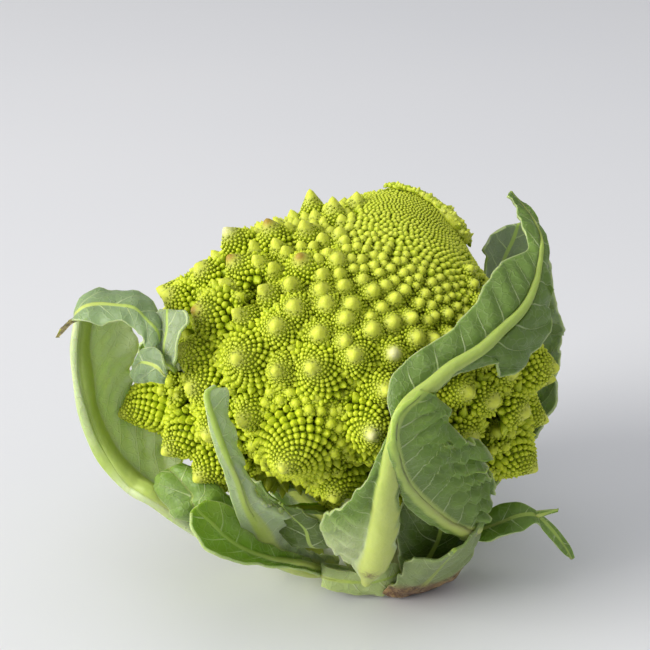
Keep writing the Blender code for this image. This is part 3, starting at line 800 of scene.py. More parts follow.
@dataclass
class Curd:
    """All the curd: one piece for each floret node, and the crown's pieces.

    Florets narrower than plain_dome are plain domes. One that faces away from the front, or lies more than
    hidden_below under the head's middle, has fewer buds. From fine_width, plain_width and small_width on, a
    bud is a finer bump. A node's flesh lies under the skin by flesh_depth, a share of the reach, and the
    crown's by crown_depth plus crown_share of the florets' width.
    """

    stand: Stand
    crest: Crest
    layout: Packing
    material: bpy.types.Material
    plain_dome: float = 3.2 * MM
    ridge_sides: int = 14
    ridge_steps: int = 7
    ridge_knobs: int = 54
    ridge_height: float = 0.9 * MM
    ridge_seed: int = 16
    flesh_depth: float = 0.23
    crown_depth: float = 0.5 * MM
    crown_share: float = 0.64
    crown_rings: int = 44
    crown_sides: int = 72
    hidden_below: float = 24 * MM
    fine_width: float = 4.2 * MM
    plain_width: float = 3.2 * MM
    small_width: float = 1.9 * MM

    def node_names(self) -> list[str]:
        """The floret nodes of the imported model, in order."""
        return sorted(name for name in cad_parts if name.startswith("floret_"))

    def node_points(self, name: str) -> Array:
        """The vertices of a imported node."""
        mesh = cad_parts[name].data
        points = np.empty(len(mesh.vertices) * 3, np.float32)
        mesh.vertices.foreach_get("co", points)
        return points.reshape(-1, 3).astype(float)

    def owners(self, names: list[str]) -> Array:
        """The node that each floret belongs to: the crown is -1, else the nearest node's number.

        Args:
            names: the floret nodes.

        Returns:
            One number for each floret.
        """
        tips = []
        for name in names:
            points = self.node_points(name)
            tips.append(points[np.argmax(np.linalg.norm((points - HEAD_CENTRE) / HEAD_HALF, axis=1))])
        tips = np.array(tips)
        units = unit((self.stand.tips - HEAD_CENTRE) / HEAD_HALF)
        gap = np.linalg.norm(self.stand.tips[:, None] - tips, axis=-1)
        owner = gap.argmin(1)
        angle = np.degrees(np.arccos(np.clip(units @ direction(*CROWN_AXIS), -1, 1)))
        owner[angle < CROWN_HALF_ANGLE] = -1
        return owner

    def flesh(self, shell: Shell, name: str) -> None:
        """The solid flesh between the florets' feet: the node's own shape, drawn in below the florets.

        Args:
            shell: the mesh that takes it.
            name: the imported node.
        """
        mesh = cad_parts[name].data
        mesh.calc_loop_triangles()
        faces = np.empty(len(mesh.loop_triangles) * 3, np.int32)
        mesh.loop_triangles.foreach_get("vertices", faces)
        points = self.node_points(name)
        _, first, inverse = np.unique(np.round(points / 1e-6), axis=0, return_index=True, return_inverse=True)
        points, faces = points[first], inverse.reshape(-1)[faces].reshape(-1, 3)
        faces = faces[(faces != np.roll(faces, 1, axis=1)).all(axis=1)]
        out = (points - HEAD_CENTRE) / HEAD_HALF
        reach = np.linalg.norm(out, axis=1)
        points = on_head(unit(out), np.minimum(reach, self.crest.reach(unit(out)) - self.flesh_depth))
        shell.add(points, [faces], **FLESH)

    def crown_flesh(self, shell: Shell) -> None:
        """The crown's flesh: rings round the crown's axis, closed by a ring halfway to the head's middle.

        Args:
            shell: the mesh that takes it.
        """
        rings, sides = self.crown_rings, self.crown_sides
        axis = direction(*CROWN_AXIS)
        across, up = frame_axes(axis)
        lean = np.radians(np.linspace(CROWN_HALF_ANGLE + 2, 0, rings + 1))[:-1]
        circle = around(full_turn(sides), across, up)
        units = np.cos(lean)[:, None, None] * axis + np.sin(lean)[:, None, None] * circle
        units = np.vstack([units.reshape(-1, 3), axis])
        skin = on_head(units, self.crest.reach(units))
        width = self.layout.natural_width(skin)
        reach = self.crest.reach(units) - (self.crown_depth + self.crown_share * width) / HEAD_HALF[2]
        points = on_head(units, reach)
        foot = on_head(unit(units[:sides]), 0.5)
        shell.add(np.vstack([foot, points]), ring_faces(rings + 1, sides), **FLESH)

    def ridge(self, shell: Shell, buds: Buds) -> None:
        """The knobby ridge: a tube just above the skin whose radius swells and narrows, with knobs on it.

        Args:
            shell: the mesh that takes it.
            buds: where the knobs are gathered.
        """
        sides = self.ridge_sides
        line = spline(np.array(self.crest.line), self.ridge_steps)
        count = len(line)
        units = unit((line - HEAD_CENTRE) / HEAD_HALF)
        line = on_head(units, self.crest.reach(units))
        out = unit((line - HEAD_CENTRE) / HEAD_HALF**2)
        line = line + self.ridge_height * out
        ahead = unit(np.gradient(line, axis=0))
        side = unit(np.cross(ahead, out))
        out = np.cross(side, ahead)
        share = np.linspace(0, 1, count)
        ends = np.sqrt(np.clip(1 - (2 * share - 1) ** 8, 0.02, 1))
        grown = 1.6 * smoothstep(share, 0.30, 0.65) - 0.6 * smoothstep(share, 0.88, 1.0)
        radius = (0.9 + 0.35 * wobble(share * 16, 3) + grown) * MM * ends
        turn = full_turn(sides)
        bumpy = 1 + 0.32 * wobble(share[:, None] * 34 + np.cos(turn) * 1.5, 5)
        circle = around(turn, side[:, None], out[:, None])
        tube = line[:, None] + (radius[:, None] * bumpy)[..., None] * circle
        points = np.vstack([tube.reshape(-1, 3), tube[-1].mean(0)])
        quads, tips, foot = ring_faces(count, sides)
        bloom = np.append(np.repeat(0.45 + 0.25 * wobble(share * 9, 8), sides), 0.5)
        faces = [block[:, ::-1] for block in (quads, tips, foot)]
        shell.add(points, faces, tip=0.95, bloom=bloom, age=0.3, **OPEN)
        rng = np.random.default_rng(self.ridge_seed)
        knobs = self.ridge_knobs
        share = (np.arange(knobs) + rng.uniform(-0.3, 0.3, knobs)) / (knobs - 1)
        at = np.clip(share * (count - 1), 0, count - 1).astype(int)
        lean = rng.uniform(-1.3, 1.3, (knobs, 1))
        axes = unit(out[at] * np.cos(lean) + side[at] * np.sin(lean))
        girth = np.maximum(radius[at], 1.4 * MM)
        buds.add(
            feet=tube[at].mean(1) + axes * (radius[at] * 0.35)[:, None],
            axes=axes,
            widths=girth * rng.uniform(1.0, 2.1, knobs),
            heights=girth * rng.uniform(0.9, 1.5, knobs),
            bloom=rng.uniform(0.2, 0.9, knobs),
            age=rng.uniform(-1, 1, knobs),
            **OPEN,
        )

    def florets(self, chosen: Array, shell: Shell, buds: Buds) -> None:
        """Grows the chosen florets; the smallest are plain domes.

        Args:
            chosen: their numbers in the stand.
            shell: the mesh that takes them.
            buds: where bumps are gathered.
        """
        stand = self.stand
        small = chosen[stand.widths[chosen] < self.plain_dome]
        rng = np.random.default_rng(len(chosen))
        width = stand.widths[small]
        height = width * 0.62 * rng.uniform(0.9, 1.2, len(small))
        buds.add(
            feet=stand.tips[small] - stand.axes[small] * height[:, None] * 0.9,
            axes=stand.axes[small],
            widths=width * 1.04,
            heights=height,
            bloom=rng.uniform(0.2, 0.6, len(small)),
            age=rng.uniform(-1, 1, len(small)),
            **OPEN,
        )
        low = HEAD_CENTRE[2] - self.hidden_below
        for number in chosen[stand.widths[chosen] >= self.plain_dome]:
            tip, axis = stand.tips[number], stand.axes[number]
            fine = bool(axis @ FRONT > FACING_AWAY and (number < len(LEADERS) or tip[2] > low))
            width, rise = float(stand.widths[number]), float(stand.rises[number])
            mark = Mark(int(stand.marks[number]))
            Floret(tip, axis, width, rise, mark, fine=fine, seed=int(number)).grow(shell, buds)

    def piece(self, name: str, node: str, shell: Shell, buds: Buds, slot: str) -> None:
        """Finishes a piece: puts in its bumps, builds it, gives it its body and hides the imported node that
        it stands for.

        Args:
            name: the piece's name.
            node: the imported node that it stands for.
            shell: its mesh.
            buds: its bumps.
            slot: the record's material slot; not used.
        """
        if name == "crest":
            buds.put(shell, self.plain_width, 0.5 * self.plain_width, 0.0)
        else:
            buds.put(shell, self.fine_width, self.plain_width, self.small_width)
        made = shell.build(name, self.material)
        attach(made, BODY)
        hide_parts(node)
        LOG.info("%s: %d triangles", name, shell.triangles())

    def build(self) -> None:
        """Builds every piece of the curd."""
        names = self.node_names()
        owner = self.owners(names)
        for number, name in enumerate(names):
            shell, buds = Shell(), Buds()
            self.flesh(shell, name)
            self.florets(np.flatnonzero(owner == number), shell, buds)
            self.piece(f"{name}_curd", name, shell, buds, "floret_curd")
        crown = np.flatnonzero(owner == -1)
        front = self.stand.tips[crown, 1] < 0
        small = self.stand.widths[crown] < self.plain_dome
        parts = (("crest", small), ("crown_front", front & ~small), ("crown_back", ~front & ~small))
        for name, chosen in parts:
            shell, buds = Shell(), Buds()
            if name == "crest":
                self.crown_flesh(shell)
                self.ridge(shell, buds)
            self.florets(crown[chosen], shell, buds)
            self.piece(name, "crown", shell, buds, "crown_curd")


# ---------------------------------------------------------------------------- finishes


def colour(red: int, green: int, blue: int) -> Colour:
    """A linear colour from display values of 0 to 255."""
    display = np.array([red, green, blue]) / 255
    linear = np.where(display <= 0.04045, display / 12.92, ((display + 0.055) / 1.055) ** 2.4)
    return (*(float(value) for value in linear), 1.0)


@dataclass
class Nodes:
    """Short ways to lay shader nodes in one material."""

    material: bpy.types.Material

    @property
    def tree(self) -> bpy.types.NodeTree:
        """The material's node tree."""
        return self.material.node_tree

    def new(self, kind: str, links: dict | None = None, **settings: object) -> bpy.types.Node:
        """Makes a node.

        Args:
            kind: its type, without the ShaderNode prefix.
            links: values or output sockets for its inputs, by name or number.
            settings: its own properties.

        Returns:
            The node.
        """
        node = self.tree.nodes.new(f"ShaderNode{kind}")
        for name, value in settings.items():
            setattr(node, name, value)
        self.fill(node, links or {})
        return node

    def fill(self, node: bpy.types.Node, links: dict) -> None:
        """Gives a node's inputs, by name or number, their values or the output sockets that feed them."""
        for key, value in links.items():
            if isinstance(value, bpy.types.NodeSocket):
                self.tree.links.new(value, node.inputs[key])
            else:
                node.inputs[key].default_value = value

    def value(self, name: str) -> bpy.types.NodeSocket:
        """The output of a named vertex value."""
        return self.new("Attribute", attribute_name=name).outputs["Fac"]

    def math(self, operation: str, *values: object) -> bpy.types.NodeSocket:
        """The result of a math node."""
        return self.new("Math", dict(enumerate(values)), operation=operation).outputs[0]

    def times(self, first: object, second: object) -> bpy.types.NodeSocket:
        """The product of two values."""
        return self.math("MULTIPLY", first, second)

    def noise(self, scale: float, detail: float = 3.0) -> bpy.types.NodeSocket:
        """The value of a noise texture in Object coordinates."""
        return self.texture("Noise", scale, Detail=detail).outputs["Fac"]

    def relief(self, height: object, strength: float, distance: float) -> bpy.types.NodeSocket:
        """A normal bent by a height."""
        return self.new("Bump", {"Height": height, "Strength": strength, "Distance": distance}).outputs[0]

    def mix(self, factor: object, first: object, second: object, blend: str = "MIX") -> bpy.types.NodeSocket:
        """The result of mixing two colours."""
        node = self.new("Mix", {0: factor, 6: first, 7: second}, data_type="RGBA", blend_type=blend)
        return node.outputs[2]

    def ramp(self, factor: object, *stops: tuple[float, float]) -> bpy.types.NodeSocket:
        """A value ramp through (place, value) stops."""
        node = self.new("ValToRGB", {0: factor})
        for number, (place, value) in enumerate(stops):
            if number < 2:
                stop = node.color_ramp.elements[number]
                stop.position = place
            else:
                stop = node.color_ramp.elements.new(place)
            stop.color = (value, value, value, 1)
        return node.outputs[0]

    def texture(self, kind: str, scale: float, **links: object) -> bpy.types.Node:
        """A texture node in Object coordinates."""
        place = self.new("TexCoord").outputs["Object"]
        return self.new(f"Tex{kind}", {"Vector": place, "Scale": scale, **links})


def new_material(name: str) -> tuple[bpy.types.Material, Nodes, bpy.types.Node]:
    """A material with a Principled shader, with its nodes and that shader."""
    material = bpy.data.materials.new(name)
    material.use_nodes = True
    return material, Nodes(material), material.node_tree.nodes["Principled BSDF"]


@dataclass(frozen=True)
class CurdFinish:
    """The curd: a green in the gaps that also darkens there as painted crevice shade, yellow-green on the
    buds, pale on the knobs, and brown or scarred tips.
    """

    # gap: the crevices' deeper green, made darker still to stand in for their shade (painted shade).
    gap: Colour = colour(142, 168, 8)
    body: Colour = colour(170, 189, 8)
    bud: Colour = colour(192, 205, 36)
    bloom: Colour = colour(210, 216, 88)
    brown: Colour = colour(150, 104, 40)
    scar: Colour = colour(228, 222, 190)
    roughness: float = 0.52
    subsurface: float = 0.35

    def material(self) -> bpy.types.Material:
        """Lays the nodes."""
        material, nodes, shader = new_material("curd")
        patch, fine = nodes.noise(55.0), nodes.noise(900.0, 4.0)
        tip, bloom, deep, age = (nodes.value(name) for name in ("tip", "bloom", "deep", "age"))
        height = nodes.ramp(tip, (0.0, 0.0), (0.75, 1.0))
        shade = nodes.mix(height, self.body, self.bud)
        # Painted crevice shade: each bud's foot, and more so the deep places, are darkened toward the gap
        # colour.
        dark = nodes.mix(nodes.times(nodes.math("SUBTRACT", 1.0, height), 0.6), shade, self.gap)
        dark = nodes.mix(nodes.times(deep, 0.5), dark, self.gap)
        pale = nodes.mix(nodes.times(bloom, height), dark, self.bloom)
        aged = nodes.math("MULTIPLY_ADD", age, 0.05, nodes.math("MULTIPLY_ADD", patch, 0.35, 0.83))
        grey = nodes.new("CombineColor", {0: aged, 1: aged, 2: aged}).outputs[0]
        varied = nodes.mix(1.0, pale, grey, "MULTIPLY")
        freckle = nodes.ramp(fine, (0.42, 0.0), (0.62, 1.0))
        varied = nodes.mix(nodes.times(freckle, 0.18), varied, self.bloom)
        bruised = nodes.mix(nodes.times(nodes.value("bruise"), 0.8), varied, self.brown)
        grain = nodes.texture("Voronoi", 1400.0).outputs["Distance"]
        looks = {
            "Base Color": nodes.mix(nodes.value("scar"), bruised, self.scar),
            "Normal": nodes.relief(grain, 0.35, 0.0003),
            "Roughness": self.roughness,
            "Subsurface Weight": self.subsurface,
            "Subsurface Radius": (1.0, 0.9, 0.25),
            "Subsurface Scale": 0.0022,
            "Specular IOR Level": 0.35,
        }
        nodes.fill(shader, looks)
        return material


# ---------------------------------------------------------------------------- leaves


class Tone(Enum):
    """A leaf's kind of green, named after its material slot."""

    BLUE = "leaf_blue_green"
    FRESH = "leaf_fresh_green"
    PALE = "leaf_pale"
    DARK = "leaf_dark_green"


@dataclass(frozen=True)
class LeafForm:
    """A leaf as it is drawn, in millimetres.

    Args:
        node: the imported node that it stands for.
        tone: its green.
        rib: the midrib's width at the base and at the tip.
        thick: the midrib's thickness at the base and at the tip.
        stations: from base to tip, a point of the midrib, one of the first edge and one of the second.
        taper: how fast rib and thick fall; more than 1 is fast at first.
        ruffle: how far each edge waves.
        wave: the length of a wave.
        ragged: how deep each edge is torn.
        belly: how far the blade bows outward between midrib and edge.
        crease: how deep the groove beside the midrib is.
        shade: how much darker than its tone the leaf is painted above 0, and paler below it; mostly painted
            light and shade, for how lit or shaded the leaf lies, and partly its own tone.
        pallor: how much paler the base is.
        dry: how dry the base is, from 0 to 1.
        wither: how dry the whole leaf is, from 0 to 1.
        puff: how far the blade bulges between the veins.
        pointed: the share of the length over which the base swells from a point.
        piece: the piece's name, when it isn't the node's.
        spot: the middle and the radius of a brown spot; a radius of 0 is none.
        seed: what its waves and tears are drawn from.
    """

    node: str
    tone: Tone
    rib: tuple[float, float]
    thick: tuple[float, float]
    stations: tuple[tuple[tuple[float, float, float], ...], ...]
    taper: float = 1.2
    ruffle: tuple[float, float] = (0.8, 0.8)
    wave: float = 14.0
    ragged: tuple[float, float] = (0.8, 0.8)
    belly: float = 2.0
    crease: float = 0.0
    shade: float = 0.0
    pallor: float = 0.0
    dry: float = 0.0
    wither: float = 0.0
    puff: float = 0.5
    pointed: float = 0.0
    piece: str = ""
    spot: tuple[float, float, float, float] = (0, 0, 0, 0)
    seed: int = 1


LEAVES = (
    LeafForm(
        "leaf_front", Tone.FRESH, (13.5, 0.8), (9.0, 1.2),
        (((-9, -42, 13), (-10, -42, 15), (-6, -42, 15)), ((-7, -49, 24), (-15, -46, 24), (0, -48, 27)),
         ((-5, -59, 40), (-22, -52, 33), (1, -58, 40)), ((-4, -69, 57), (-26, -62, 50), (1, -68, 57)),
         ((-4, -77, 71), (-16, -74, 65), (1, -76, 70)), ((-3, -82, 83), (-9, -80, 78), (1, -81, 82)),
         ((-2, -85, 93), (-6, -83, 88), (1, -84, 92)), ((1, -86, 103), (-2, -84, 97), (3, -85, 101)),
         ((5, -82, 107), (-4, -82, 105), (7, -81, 104)), ((11, -79, 110), (-2, -77, 113), (12, -78, 107)),
         ((18, -74, 114), (6, -71, 118), (20, -73, 111)), ((27, -68, 117), (16, -64, 122), (32, -64, 110)),
         ((35, -60, 121), (24, -56, 127), (37, -61, 103)), ((43, -51, 125), (30, -45, 132), (50, -49, 109)),
         ((48, -41, 130), (37, -33, 136), (54, -39, 117)), ((51, -29, 136), (47, -25, 137), (54, -33, 127)),
         ((52, -19, 140), (45, -20, 143), (54, -22, 136)), ((49, -10, 145), (44, -11, 147), (52, -11, 143)),
         ((42, -5, 152), (41, -9, 152), (43, -3, 151))),
        taper=1.5, ruffle=(0.9, 2.2), wave=15, ragged=(1.0, 2.4), belly=1.5, crease=1.6, shade=0.5,
        pallor=1.5, puff=0.8, pointed=0.09, spot=(-8, -55, 22, 4.0), seed=3,
    ),
    LeafForm(
        "leaf_right_fold", Tone.FRESH, (10.0, 3.0), (7.0, 1.8),
        (((15, -11, 24), (12, -15, 24), (17, -6, 24)), ((29, -38, 34), (26, -40, 32), (33, -36, 38)),
         ((19, -54, 48), (14, -56, 45), (35, -44, 46)), ((9, -68, 63), (4, -69, 60), (37, -50, 61)),
         ((2, -79, 77), (0, -79, 74), (32, -58, 71)), ((-1, -87, 90), (-3, -87, 88), (32, -60, 78)),
         ((-2, -90, 99), (-3, -90, 98), (23, -69, 86)), ((0, -90, 105), (-1, -90, 105), (19, -75, 95)),
         ((4, -88, 108), (3, -88, 109), (16, -77, 101)), ((8, -85, 110), (7, -85, 110), (13, -79, 106))),
        taper=0.9, ruffle=(1.4, 3.2), wave=12, ragged=(1.0, 3.4), belly=3.0, shade=0.2, puff=1.3, seed=5,
    ),
    LeafForm(
        "leaf_left", Tone.BLUE, (9.4, 6.0), (8.4, 4.6),
        (((-25, 0, 1), (-24, -7, 1), (-25, 6, 1)), ((-60, -24, 22), (-57, -31, 20), (-64, -14, 25)),
         ((-83, -37, 46), (-86, -39, 44), (-79, -27, 47)), ((-93, -34, 51), (-96, -36, 49), (-76, -20, 54)),
         ((-101, -32, 59), (-103, -34, 58), (-83, -16, 62)),
         ((-106, -30, 68), (-108, -33, 68), (-89, -14, 72)),
         ((-109, -29, 78), (-111, -32, 79), (-95, -14, 82)),
         ((-110, -28, 89), (-113, -31, 90), (-93, -14, 91)),
         ((-111, -27, 100), (-113, -30, 101), (-92, -15, 100)),
         ((-110, -25, 108), (-112, -28, 109), (-93, -16, 106)),
         ((-109, -24, 113), (-111, -26, 115), (-93, -18, 112)),
         ((-107, -22, 116), (-109, -24, 118), (-94, -20, 116))),
        taper=0.6, ruffle=(0.0, 1.6), wave=19, ragged=(0.0, 1.4), belly=2.5, shade=-0.75, seed=8,
    ),
    LeafForm(
        "leaf_left_back", Tone.BLUE, (3.2, 1.0), (3.0, 1.0),
        (((-24, 8, 26), (-25, 3, 26), (-22, 13, 26)), ((-60, 0, 40), (-62, -8, 40), (-58, 8, 42)),
         ((-76, -4, 74), (-82, -2, 74), (-70, -6, 76)), ((-78, -36, 97), (-82, -32, 96), (-75, -42, 101)),
         ((-79, -47, 104), (-84, -44, 104), (-75, -54, 107)),
         ((-79, -47, 110), (-84, -43, 110), (-74, -54, 114)),
         ((-78, -45, 115), (-84, -40, 114), (-71, -53, 118)),
         ((-78, -43, 119), (-84, -38, 117), (-70, -52, 123)),
         ((-78, -41, 121), (-81, -38, 120), (-72, -49, 124))),
        ruffle=(1.6, 1.6), wave=13, ragged=(1.2, 1.6), belly=2.0, shade=0.45, seed=11,
    ),
    LeafForm(
        "leaf_front_left", Tone.BLUE, (10.5, 1.6), (7.5, 1.3),
        (((-23, -12, 3), (-26, -14, 1), (-19, -10, 6)), ((-33, -24, 11), (-37, -25, 9), (-28, -23, 15)),
         ((-43, -38, 25), (-48, -39, 22), (-35, -37, 29)), ((-47, -53, 44), (-53, -54, 42), (-33, -50, 46)),
         ((-51, -66, 61), (-56, -67, 61), (-40, -60, 53)), ((-54, -70, 73), (-58, -71, 73), (-46, -64, 60)),
         ((-58, -72, 84), (-61, -72, 84), (-51, -67, 74)), ((-61, -71, 93), (-63, -71, 93), (-53, -67, 85)),
         ((-63, -69, 99), (-64, -69, 99), (-56, -66, 94)),
         ((-63, -67, 102), (-64, -67, 102), (-56, -65, 100)),
         ((-60, -66, 103), (-61, -66, 104), (-57, -65, 102))),
        taper=1.0, ruffle=(0.4, 1.4), wave=10, ragged=(0.2, 2.4), belly=1.2, shade=-0.4, seed=14,
    ),
    LeafForm(
        "leaf_low_left", Tone.FRESH, (4.0, 1.2), (3.0, 1.1),
        (((-24, -8, 26), (-26, -3, 26), (-22, -12, 26)), ((-67, -46, 47), (-73, -46, 42), (-55, -45, 50)),
         ((-71, -46, 52), (-81, -42, 45), (-61, -46, 55)), ((-76, -42, 56), (-86, -38, 50), (-66, -42, 58)),
         ((-80, -38, 58), (-85, -37, 54), (-75, -38, 60))),
        ruffle=(0.8, 0.8), wave=14, belly=4.0, shade=0.08, seed=17,
    ),
    LeafForm(
        "leaf_rolled", Tone.FRESH, (6.0, 1.2), (5.0, 1.1),
        (((-22, -14, 1), (-25, -9, 1), (-19, -19, 1)), ((-33, -38, 19), (-32, -34, 20), (-34, -42, 19)),
         ((-43, -52, 29), (-41, -46, 30), (-46, -60, 31)), ((-52, -58, 36), (-48, -51, 37), (-55, -69, 38)),
         ((-59, -61, 43), (-52, -54, 44), (-62, -73, 43)), ((-63, -63, 49), (-55, -56, 51), (-67, -73, 48)),
         ((-67, -63, 53), (-60, -57, 55), (-70, -71, 53)), ((-69, -63, 56), (-65, -59, 57), (-70, -67, 56))),
        ruffle=(0.8, 0.6), wave=15, ragged=(0.9, 0.6), belly=1.5, shade=0.1, seed=20,
    ),
    LeafForm(
        "leaf_inner", Tone.DARK, (3.5, 1.0), (3.0, 1.0),
        (((-8, -20, 24), (-12, -18, 24), (-4, -20, 24)), ((-27, -44, 30), (-33, -44, 30), (-20, -44, 30)),
         ((-31, -52, 42), (-45, -44, 40), (-24, -52, 41)), ((-36, -55, 49), (-51, -45, 58), (-29, -56, 49)),
         ((-39, -57, 54), (-47, -50, 60), (-34, -58, 53))),
        ruffle=(1.0, 1.0), wave=11, belly=1.5, shade=0.1, seed=23,
    ),
    LeafForm(
        "leaf_low_pale", Tone.PALE, (3.0, 1.0), (3.0, 1.1),
        (((-13, -22, 3), (-10, -20, 6), (-15, -24, 1)), ((-24, -30, 9), (-26, -30, 15), (-25, -31, 5)),
         ((-17, -33, 9), (-17, -33, 13), (-18, -33, 4)), ((-7, -34, 9), (-8, -34, 13), (-8, -32, 2)),
         ((0, -34, 11), (-1, -34, 16), (0, -32, 3)), ((4, -33, 13), (3, -33, 16), (5, -32, 8))),
        ruffle=(1.2, 0.8), wave=9, ragged=(1.4, 0.8), belly=1.0, seed=26,
    ),
    LeafForm(
        "leaf_trimmed", Tone.DARK, (7.0, 2.0), (5.0, 1.6),
        (((18, -20, 1), (2, -27, 1), (28, -12, 5)), ((11, -32, 6), (-3, -32, 3), (28, -28, 13)),
         ((15, -42, 18), (2, -40, 13), (31, -34, 23)), ((19, -50, 28), (4, -48, 23), (33, -38, 34)),
         ((22, -54, 34), (7, -54, 31), (33, -42, 46))),
        ruffle=(0.6, 0.8), wave=13, ragged=(0.6, 0.8), belly=3.0, shade=-0.3, dry=1.0, seed=29,
    ),
    LeafForm(
        "leaf_right_low", Tone.FRESH, (3.6, 1.0), (3.2, 1.0),
        (((20, -1, 14), (19, -6, 14), (20, 4, 14)), ((33, -26, 26), (34, -22, 31), (33, -32, 25)),
         ((41, -28, 30), (41, -24, 36), (41, -34, 28)), ((48, -29, 34), (48, -26, 38), (49, -33, 30)),
         ((54, -29, 34), (54, -27, 35), (54, -31, 32)), ((60, -28, 28), (61, -27, 29), (58, -29, 27)),
         ((65, -27, 21), (67, -26, 21), (64, -28, 19)), ((69, -26, 14), (70, -26, 15), (69, -26, 14))),
        ruffle=(0.5, 0.9), wave=13, ragged=(0.5, 1.0), belly=1.5, shade=0.3, seed=32,
    ),
    LeafForm(
        "leaf_crest_back", Tone.DARK, (6.5, 1.2), (5.0, 1.1),
        (((8, 19, 20), (13, 22, 20), (3, 16, 20)), ((12, 46, 36), (19, 41, 36), (5, 49, 36)),
         ((23, 62, 58), (35, 54, 60), (5, 70, 57)), ((27, 68, 86), (37, 62, 88), (6, 78, 86)),
         ((28, 62, 110), (32, 60, 110), (12, 71, 110)), ((28, 54, 122), (31, 53, 121), (23, 57, 120))),
        ruffle=(1.0, 1.0), wave=16, belly=2.0, seed=35,
    ),
    LeafForm(
        "leaf_right_back", Tone.BLUE, (8.0, 1.6), (6.5, 1.2),
        (((22, 12, 1), (24, 5, 1), (18, 18, 1)), ((38, 22, 30), (45, 10, 28), (33, 31, 30)),
         ((54, 26, 58), (64, 12, 56), (45, 42, 58)), ((48, 22, 81), (67, 14, 83), (38, 34, 76)),
         ((44, 18, 98), (68, 14, 91), (34, 10, 101)), ((41, 15, 111), (64, 14, 103), (34, 5, 111)),
         ((43, 15, 120), (62, 15, 116), (36, 5, 122)), ((46, 15, 127), (57, 16, 125), (33, 4, 128)),
         ((48, 16, 133), (51, 16, 134), (43, 12, 133))),
        taper=0.8, ruffle=(1.2, 1.6), wave=14, ragged=(1.2, 1.4), belly=1.0, shade=0.6, seed=38,
    ),
    LeafForm(
        "leaf_back_left", Tone.BLUE, (8.5, 1.6), (6.5, 1.2),
        (((-17, 18, 1), (-22, 13, 1), (-12, 23, 1)), ((-56, 41, 27), (-66, 31, 27), (-46, 50, 27)),
         ((-73, 55, 48), (-88, 36, 47), (-53, 70, 49)), ((-80, 60, 68), (-98, 36, 68), (-54, 80, 69)),
         ((-81, 61, 80), (-95, 44, 80), (-62, 75, 80)), ((-79, 63, 87), (-82, 60, 87), (-75, 66, 87))),
        ruffle=(1.6, 1.6), wave=17, belly=2.0, shade=0.2, seed=41,
    ),
    LeafForm(
        "leaf_back_right", Tone.BLUE, (8.5, 1.6), (6.5, 1.2),
        (((2, 25, 1), (9, 24, 1), (-6, 25, 1)), ((-14, 50, 25), (-4, 49, 26), (-24, 50, 25)),
         ((-14, 70, 46), (3, 68, 47), (-34, 68, 46)), ((-14, 83, 70), (6, 81, 70), (-36, 82, 70)),
         ((-14, 86, 92), (4, 83, 92), (-32, 84, 92)), ((-14, 84, 108), (-8, 83, 107), (-20, 83, 107))),
        ruffle=(1.6, 1.6), wave=17, belly=2.0, shade=0.2, seed=44,
    ),
    LeafForm(
        "leaf_left", Tone.BLUE, (2.2, 1.2), (1.8, 1.1),
        (((-111, -36, 116), (-112, -37, 115), (-111, -34, 117)),
         ((-107, -37, 120), (-106, -42, 117), (-109, -30, 121)),
         ((-102, -37, 121), (-100, -43, 116), (-104, -28, 124)),
         ((-96, -38, 121), (-95, -43, 117), (-99, -27, 122)),
         ((-90, -40, 121), (-90, -44, 116), (-92, -27, 123)),
         ((-86, -42, 118), (-87, -46, 112), (-86, -30, 121)),
         ((-82, -45, 115), (-85, -48, 109), (-81, -38, 117)),
         ((-81, -46, 111), (-82, -48, 110), (-81, -43, 113))),
        ruffle=(1.6, 0.8), wave=13, ragged=(0.8, 0.8), belly=1.5, shade=0.2, piece="blade_left_fold",
        seed=47,
    ),
    LeafForm(
        "leaf_left_back", Tone.BLUE, (2.2, 1.0), (2.0, 1.0),
        (((-78, -52, 101), (-78, -53, 104), (-79, -51, 98)),
         ((-81, -51, 104), (-80, -51, 109), (-83, -50, 98)),
         ((-86, -47, 104), (-84, -48, 110), (-87, -45, 95)),
         ((-89, -43, 101), (-88, -44, 106), (-91, -41, 94)),
         ((-91, -40, 98), (-91, -40, 100), (-92, -40, 96))),
        ruffle=(1.0, 1.0), wave=11, belly=1.5, shade=0.45, piece="blade_left_back_low", seed=50,
    ),
    LeafForm(
        "leaf_trimmed", Tone.DARK, (3.5, 1.5), (2.5, 1.2),
        (((12, -30, 11), (5, -30, 9), (19, -28, 11)), ((14, -36, 21), (3, -36, 20), (27, -30, 20)),
         ((17, -40, 31), (2, -42, 31), (31, -32, 30)), ((18, -42, 39), (2, -46, 42), (32, -34, 38)),
         ((19, -42, 47), (4, -48, 51), (32, -36, 46)), ((19, -42, 51), (10, -46, 53), (27, -38, 50))),
        ruffle=(1.2, 1.2), wave=13, belly=2.0, shade=0.35, piece="blade_trimmed_inside", seed=53,
    ),
    LeafForm(
        "leaf_left", Tone.BLUE, (1.6, 0.6), (1.4, 0.8),
        (((-109, -36, 116), (-110, -36, 117), (-109, -36, 115)),
         ((-113, -37, 115), (-113, -37, 115), (-112, -37, 114)),
         ((-116, -37, 112), (-116, -37, 112), (-115, -37, 111)),
         ((-117, -37, 109), (-118, -37, 109), (-117, -37, 109))),
        ruffle=(0.2, 0.2), ragged=(0.1, 0.1), belly=0.0, wither=0.75, piece="blade_left_tendril", seed=56,
    ),
    LeafForm(
        "leaf_right_low", Tone.FRESH, (1.8, 0.8), (1.4, 0.9),
        (((54, -29, 34), (54, -29, 36), (55, -29, 33)), ((58, -30, 36), (58, -30, 37), (58, -30, 35)),
         ((62, -31, 38), (62, -31, 38), (62, -31, 37))),
        ruffle=(0.2, 0.2), ragged=(0.2, 0.2), belly=0.0, shade=0.3, piece="blade_right_low_tooth", seed=59,
    ),
)


